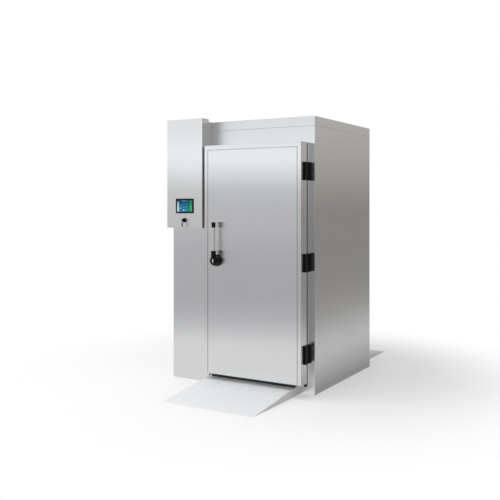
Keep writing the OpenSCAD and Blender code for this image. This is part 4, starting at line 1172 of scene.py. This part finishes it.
@dataclass
class Evaporator:
    """Finned coil, tubes, drain pan, hinged fan panel, guards, motors and rotors. Sizes in millimetres."""

    fins: int = 150
    fin_t: float = 0.4
    fin_depth: float = 180
    plate_t: float = 2
    waves: int = 12
    blades: int = 7
    rotor_r: float = 205
    hub_r: float = 48
    hub_d: float = 52
    guard_in: float = 56
    guard_out: float = 223
    guard_pitch: float = 26
    guard_rise: float = 14
    spokes: int = 8
    motor_len: float = 70
    flange_r: float = 53.7

    def _coil(self) -> Shape:
        """The fin block: thin rippled sheets between folded end plates.

        A fin's outline in X and Y is a ripple along X and the same ripple moved by the sheet's thickness;
        the outline is carried up Z.
        """
        lo, hi = corners("evaporator_coil")
        p = self.plate_t * MM
        x0, x1, z0, z1 = hi[0] - self.fin_depth * MM, hi[0], lo[2] + p, hi[2] - p
        xs = np.linspace(x0, x1, self.waves * 2 + 1)
        ripple = 0.7 * MM * np.cos(np.arange(len(xs)) * math.pi)
        places = np.linspace(lo[1] + 6 * MM, hi[1] - 6 * MM, self.fins)
        pts = np.zeros((self.fins, 2, 2 * len(xs), 3))
        pts[..., 0] = np.concatenate([xs, xs[::-1]])
        pts[..., 1] = np.concatenate([ripple, ripple[::-1] + self.fin_t * MM]) + places[:, None, None]
        pts[:, 0, :, 2], pts[:, 1, :, 2] = z0, z1
        shapes = [capped(fin) for fin in pts]
        for y in (lo[1], hi[1] - p):
            shapes.append(slab((x0, y, z0), (x1, y + p, z1), 1, 0.5, 1.0))
        for z in (lo[2], hi[2] - p):
            shapes.append(slab((x0, lo[1], z), (x1, hi[1], z + p), 2, 0.5, 1.0))
        for y in (lo[1] + 30 * MM, hi[1] - 60 * MM):
            ends = (lo[0], y, hi[2] - 62 * MM), (x0, y + 30 * MM, hi[2] - 22 * MM)
            shapes.append(slab(*ends, 0, 1.0, 2.0))
        return together(shapes)

    def _rotor(self, lo: np.ndarray, hi: np.ndarray, z: float) -> Shape:
        """A fan rotor: a rounded hub and blades.

        A blade is a surface over radius and chord: the chord turns and flattens towards the tip, bows by a
        parabola, and the second face is the first one moved along the axis.

        Args:
            lo: the rotor's lowest corner.
            hi: its highest corner.
            z: height of its axis.

        Returns:
            The rotor.
        """
        r, d, depth = self.hub_r, self.hub_d, float(hi[0] - lo[0]) / MM
        section = [(0.0, 0.0), (r - 6, 0.0), *arc(r - 6, 6, 6, -90, 0, 5)]
        section += [(r, d - 2), (r - 2, d), (6, d), (6, depth), (0.0, depth)]
        hub = lathe(section).turned((2, 1, 0), (1.0, -1.0, 1.0))
        s = np.linspace(0.0, 1.0, 10)[:, None]
        c = np.linspace(-0.5, 0.5, 9)[None, :]
        radius = (r - 3 + s * (self.rotor_r - r + 2) + 0 * c) * MM
        angle = c * math.radians(44) * (1 - 0.25 * s) + math.radians(14) * s**1.5
        axial = d - 26 + c * 40 * (1 - 0.35 * s) - 7 * (0.25 - c**2) * (0.6 + 0.4 * s)
        thick = (3.2 - 1.4 * s) * (1 - 1.2 * c**2)
        shapes = [hub]
        for k in range(self.blades):
            a = angle + TAU * k / self.blades
            around = radius * np.sin(a), radius * np.cos(a)
            top, low = (np.stack([(axial + out) * MM, *around], axis=-1) for out in (thick / 2, -thick / 2))
            shapes.append(capped(np.concatenate([top, low[:, ::-1]], axis=1)))
        return together(shapes).moved(x=lo[0], z=z)

    def _guard(self, x: float, z: float) -> Shape:
        """A wire guard: closed rings on spokes whose outer ends bend back to the panel.

        Args:
            x: where the panel's face lies.
            z: height of the fan's axis.

        Returns:
            The guard.
        """
        a = turns(72)
        rise, bend, reach = self.guard_rise, 5, self.guard_out + 2
        wires = []
        for r in np.arange(self.guard_in, self.guard_out, self.guard_pitch):
            ring = np.stack([np.full_like(a, rise), r * np.cos(a), r * np.sin(a)], axis=-1)
            wires.append(tube(ring * MM, 2.0, closed=True))
        turn = arc(rise - bend, reach - bend, bend, 90, 0, 4)
        spoke = np.array([(0.0, reach), *turn, (rise, self.guard_in)])
        for t in turns(self.spokes):
            path = np.stack([spoke[:, 0], spoke[:, 1] * math.cos(t), spoke[:, 1] * math.sin(t)], axis=-1)
            wires.append(tube(path * MM, 2.3))
        return together(wires).moved(x=x, z=z)

    def _motor(self, x: float, z: float) -> Shape:
        """A motor can turned about X: a body with cooling ribs, a flange and a rounded back.

        Args:
            x: where the can's front lies.
            z: height of its axis.

        Returns:
            The can.
        """
        r, length, flange = self.hub_r, self.motor_len, self.flange_r
        section = [(0.0, 0.0), (r - 2, 0.0), (r, 2), (r, 12)]
        for i in range(6):
            rib = 14 + i * 5
            section += [(r - 3, rib), (r, rib + 0.6), (r, rib + 2.4), (r - 3, rib + 3)]
        section += [(r, 46), (r, 54), (flange, 54), (flange, 59), (r, 59)]
        section += [*arc(r - 8, length - 8, 8, 0, 90, 5), (0.0, length)]
        return lathe(section).turned((2, 1, 0), (1.0, -1.0, 1.0)).moved(x=x, z=z)

    def build(self, shop: Workshop) -> None:
        """Makes the evaporator and fans."""
        shop.add("fin_block", self._coil(), FINS, "evaporator_coil")
        shop.refined("evaporator_tubes", COPPER)
        shop.refined("drain_pan", FRAME, 0.5)
        shop.refined("fan_panel_posts", FRAME, 1.0)
        shop.refined("fan_panel", PANEL, 0.6)
        heights = []
        for node in ("fan_low", "fan_middle", "fan_high"):
            lo, hi = corners(node)
            heights.append(float(lo[2] + hi[2]) / 2)
            shop.add(node + "_rotor", self._rotor(lo, hi, heights[-1]), FAN, node)
        guard, motor = corners("fan_guards")[0][0], corners("fan_motors")[0][0]
        shop.add("wire_guards", together(self._guard(guard, z) for z in heights), WIRE, "fan_guards")
        shop.add("motor_cans", together(self._motor(motor, z) for z in heights), MOTOR, "fan_motors")


@dataclass
class CeilingLight:
    """Chamber light: a white base with a prismatic half-round cover."""

    base: float = 22 * MM
    lens_r: float = 34 * MM

    def build(self, shop: Workshop) -> None:
        """Makes the base and the cover, whose section is a half circle carried along X."""
        lo, hi = corners("ceiling_light")
        z = hi[2] - self.base
        shop.add("light_base", slab((lo[0], lo[1], z), hi, 2, 2.0, 6.0), WHITE, "ceiling_light")
        section = arc(float(lo[1] + hi[1]) / 2, z, self.lens_r, 180, 360, 20)
        lens = strip(section, lo[0] + 10 * MM, hi[0] - 10 * MM)
        shop.add("light_cover", lens, LampLens("lamp_cover"), "ceiling_light")


# --- Studio ---


@dataclass(frozen=True)
class Lamp:
    """A soft rectangular lamp that mirror-like surfaces don't see."""

    name: str
    place: tuple[float, float, float]
    aim: tuple[float, float, float]
    size: tuple[float, float]
    watts: float

    def build(self) -> None:
        """Adds the lamp to the scene."""
        data = bpy.data.lights.new(self.name, "AREA")
        data.shape = "RECTANGLE"
        data.size, data.size_y = self.size
        data.energy = self.watts
        lamp = bpy.data.objects.new(self.name, data)
        lamp.location = self.place
        toward = Vector(self.aim) - Vector(self.place)
        lamp.rotation_euler = toward.to_track_quat("-Z", "Y").to_euler()
        lamp.visible_glossy = False
        bpy.context.scene.collection.objects.link(lamp)
        lamp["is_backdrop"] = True


@dataclass
class Studio:
    """White room, soft lamps and the camera of the photograph.

    The bands are what mirror-like surfaces see by the height of a ray, from 0 straight down to 1 straight up.
    The floor shadings are what they see of the floor, with painted light and shade by distance in metres.
    """

    lens: float = 52.5
    sensor: float = 36.0
    place: tuple[float, float, float] = (3.4655, -6.3784, 1.6756)
    heading: float = 30.54
    shift: float = -0.0948
    behind_camera: Colour = (0.42, 0.415, 0.41)
    front_band: Stops = (
        (0.0, (0.60, 0.60, 0.61)),
        (0.49, (0.66, 0.66, 0.67)),
        (0.500, (0.66, 0.66, 0.67)),
        (0.505, (0.56, 0.56, 0.57)),
        (0.509, (0.62, 0.62, 0.63)),
        (0.5155, (0.77, 0.78, 0.79)),
        (0.519, (0.94, 0.95, 0.97)),
        (0.5257, (1.17, 1.20, 1.23)),
        (0.5325, (1.24, 1.28, 1.31)),
        (0.54, (1.06, 1.09, 1.12)),
        (0.55, (0.95, 0.98, 1.01)),
        (0.65, (0.94, 0.97, 1.00)),
        (1.0, (0.9, 0.92, 0.94)),
    )
    side_band: Stops = (
        (0.0, (0.52, 0.50, 0.48)),
        (0.46, (0.38, 0.36, 0.34)),
        (0.495, (0.33, 0.31, 0.29)),
        (0.505, (0.38, 0.36, 0.335)),
        (0.525, (0.48, 0.46, 0.43)),
        (0.56, (0.59, 0.565, 0.53)),
        (0.70, (0.52, 0.51, 0.50)),
        (1.0, (0.7, 0.7, 0.69)),
    )
    # Painted light of the floor in reflections: brightest near the object, dimmer far off.
    near_floor_shading: Stops = (
        (0.0, (0.86, 0.86, 0.86)),
        (2.9, (0.86, 0.86, 0.86)),
        (3.8, (0.68, 0.68, 0.69)),
        (5.1, (0.57, 0.57, 0.58)),
        (6.8, (0.52, 0.52, 0.53)),
        (9.0, (0.53, 0.53, 0.54)),
        (13.0, (0.56, 0.56, 0.57)),
        (18.0, (0.57, 0.57, 0.58)),
        (28.0, (0.62, 0.62, 0.63)),
        (40.0, (0.64, 0.64, 0.65)),
    )
    # Painted shadow of the floor along the right wall in reflections, then a painted brighter band, then dim.
    right_floor_shading: Stops = (
        (0.0, (0.30, 0.295, 0.29)),
        (0.25, (0.45, 0.445, 0.44)),
        (0.55, (0.56, 0.555, 0.55)),
        (0.9, (0.72, 0.715, 0.71)),
        (1.3, (0.70, 0.695, 0.69)),
        (1.9, (0.37, 0.36, 0.35)),
        (2.8, (0.34, 0.33, 0.315)),
        (10.0, (0.34, 0.33, 0.315)),
    )
    lamps: tuple[Lamp, ...] = (
        Lamp("lamp_top", (-0.9, -1.8, 6.5), (0.0, 0.0, 0.8), (5.0, 5.0), 260.0),
        Lamp("lamp_left", (-5.0, -4.5, 3.0), (0.0, 0.0, 1.0), (3.5, 3.5), 80.0),
        Lamp("lamp_front", (-0.6, -6.5, 1.6), (0.0, -0.8, 0.1), (4.0, 2.0), 60.0),
    )

    def _world(self) -> None:
        """A white background for the camera, and a studio for reflections.

        Mirror-like surfaces see soft bands by height and direction: a bright, cool one above eye level in
        front, a grey one round it, a darker, warmer room to the right of the cabinet, and a dim room
        behind the camera.
        """
        world = bpy.data.worlds.new("studio")
        bpy.context.scene.world = world
        t = ShaderTree(world)
        rays = t.node("ShaderNodeLightPath")
        camera, glossy, through = rays.beside("Is Camera Ray", "Is Glossy Ray", "Is Transmission Ray")
        here = t.node("ShaderNodeTexCoord", output="Generated")
        dx, dy, dz = t.node("ShaderNodeSeparateXYZ", {0: here}).beside(0, 1, 2)
        toward, height = dy * -1.0, dz * 0.5 + 0.5
        side, front = t.ramp(height, self.side_band), t.ramp(height, self.front_band)
        seen = t.blend(toward.step(-0.3, 0.5), side, front)
        seen = t.blend(dx.step(0.12, 0.42) * toward.step(0.1, 0.4), seen, self.behind_camera)
        soft = t.blend(dx.step(-0.4, 0.8), (0.66, 0.66, 0.67), (0.22,) * 3)
        shown = t.blend((camera + through).clamped(), t.blend(glossy, soft, seen), (1.0,) * 3)
        t.finish(t.node("ShaderNodeBackground", {0: shown, 1: 1.0}))

    def _floor_look(self) -> bpy.types.Material:
        """The floor's finish: matt and shadowed near the object, white far off, and in reflections dimmer,
        with painted light and shade.
        """
        t = ShaderTree(bpy.data.materials.new("studio_floor"))
        camera, glossy = t.node("ShaderNodeLightPath").beside("Is Camera Ray", "Is Glossy Ray")
        x, y, _ = t.axes()
        far = t.math("SQRT", x * x + y * y)
        base = t.blend(t.noise(1.2), (0.85,) * 3, (0.88,) * 3)
        matt = t.node("ShaderNodeBsdfPrincipled", {"Base Color": base, "Roughness": 0.65})
        white = t.node("ShaderNodeEmission", {0: (1.0,) * 3, 1: 1.0})
        # Painted light and shade of the floor that mirror-like surfaces see, with a painted shadow by the
        # right wall.
        right = (x - 0.70).step(0.0, 0.08) * (y + 0.7).step(-0.3, 0.1)
        behind = (x - 0.8).step(0.0, 0.4) * (y + 1.1).step(0.0, -0.4)
        dim = t.blend(right, t.ramp(far, self.near_floor_shading), t.ramp(x - 0.75, self.right_floor_shading))
        dim = t.blend(behind, dim, self.behind_camera)
        pale = (far.step(1.4, 2.9) * 0.62 + 0.38) * camera
        shown = t.node("ShaderNodeMixShader", {0: pale, 1: matt, 2: white})
        # Mirror-like surfaces see this painted floor light and shade instead of the lit floor.
        painted_floor_light = t.node("ShaderNodeEmission", {0: dim, 1: 1.0})
        return t.finish(t.node("ShaderNodeMixShader", {0: glossy, 1: shown, 2: painted_floor_light}))

    def _floor(self, lowest: float) -> None:
        """A round floor of rings about the object, at the height of its underside."""
        a = turns(48)
        r = np.array([0.01, 1.0, 2.0, 3.0, 4.5, 6.5, 9.0, 14.0, 24.0, 40.0])[:, None]
        points = np.stack([r * np.cos(a), r * np.sin(a), np.full_like(r * a, lowest)], axis=-1)
        disc = grid(points, close_v=True)
        mesh = bpy.data.meshes.new("floor")
        mesh.from_pydata(disc.points.tolist(), [], disc.faces[0][:, ::-1].tolist())
        mesh.materials.append(self._floor_look())
        floor = bpy.data.objects.new("studio_floor", mesh)
        bpy.context.scene.collection.objects.link(floor)
        floor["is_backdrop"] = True

    def _camera(self) -> None:
        """The photograph's camera, calibrated on the model's corners."""
        data = bpy.data.cameras.new("camera")
        data.lens, data.sensor_width = self.lens, self.sensor
        data.shift_y = self.shift
        data.clip_end = 100.0
        camera = bpy.data.objects.new("camera", data)
        camera.location = self.place
        camera.rotation_euler = (math.radians(90), 0.0, math.radians(self.heading))
        bpy.context.scene.collection.objects.link(camera)
        bpy.context.scene.camera = camera

    def build(self, lowest: float) -> None:
        """Sets up the scene round the object, whose underside is at the given height."""
        self._world()
        self._floor(lowest)
        for lamp in self.lamps:
            lamp.build()
        self._camera()
        bpy.context.scene.view_settings.view_transform = "Standard"


def main() -> None:
    """Builds the pieces and the studio."""
    logging.basicConfig(level=logging.INFO, format="%(message)s")
    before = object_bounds()
    shop = Workshop()
    Cabinet().build(shop)
    for side in Side:
        Door(side).build(shop)
        Handle(side).build(shop)
    Controls().build(shop)
    Evaporator().build(shop)
    CeilingLight().build(shop)
    shop.refined("frame_hinge_blocks", HINGE, 2.0, steps=3)
    shop.dress_rest(FOAM)
    Studio().build(float(before[0][2]))


if __name__ == "__main__":
    main()
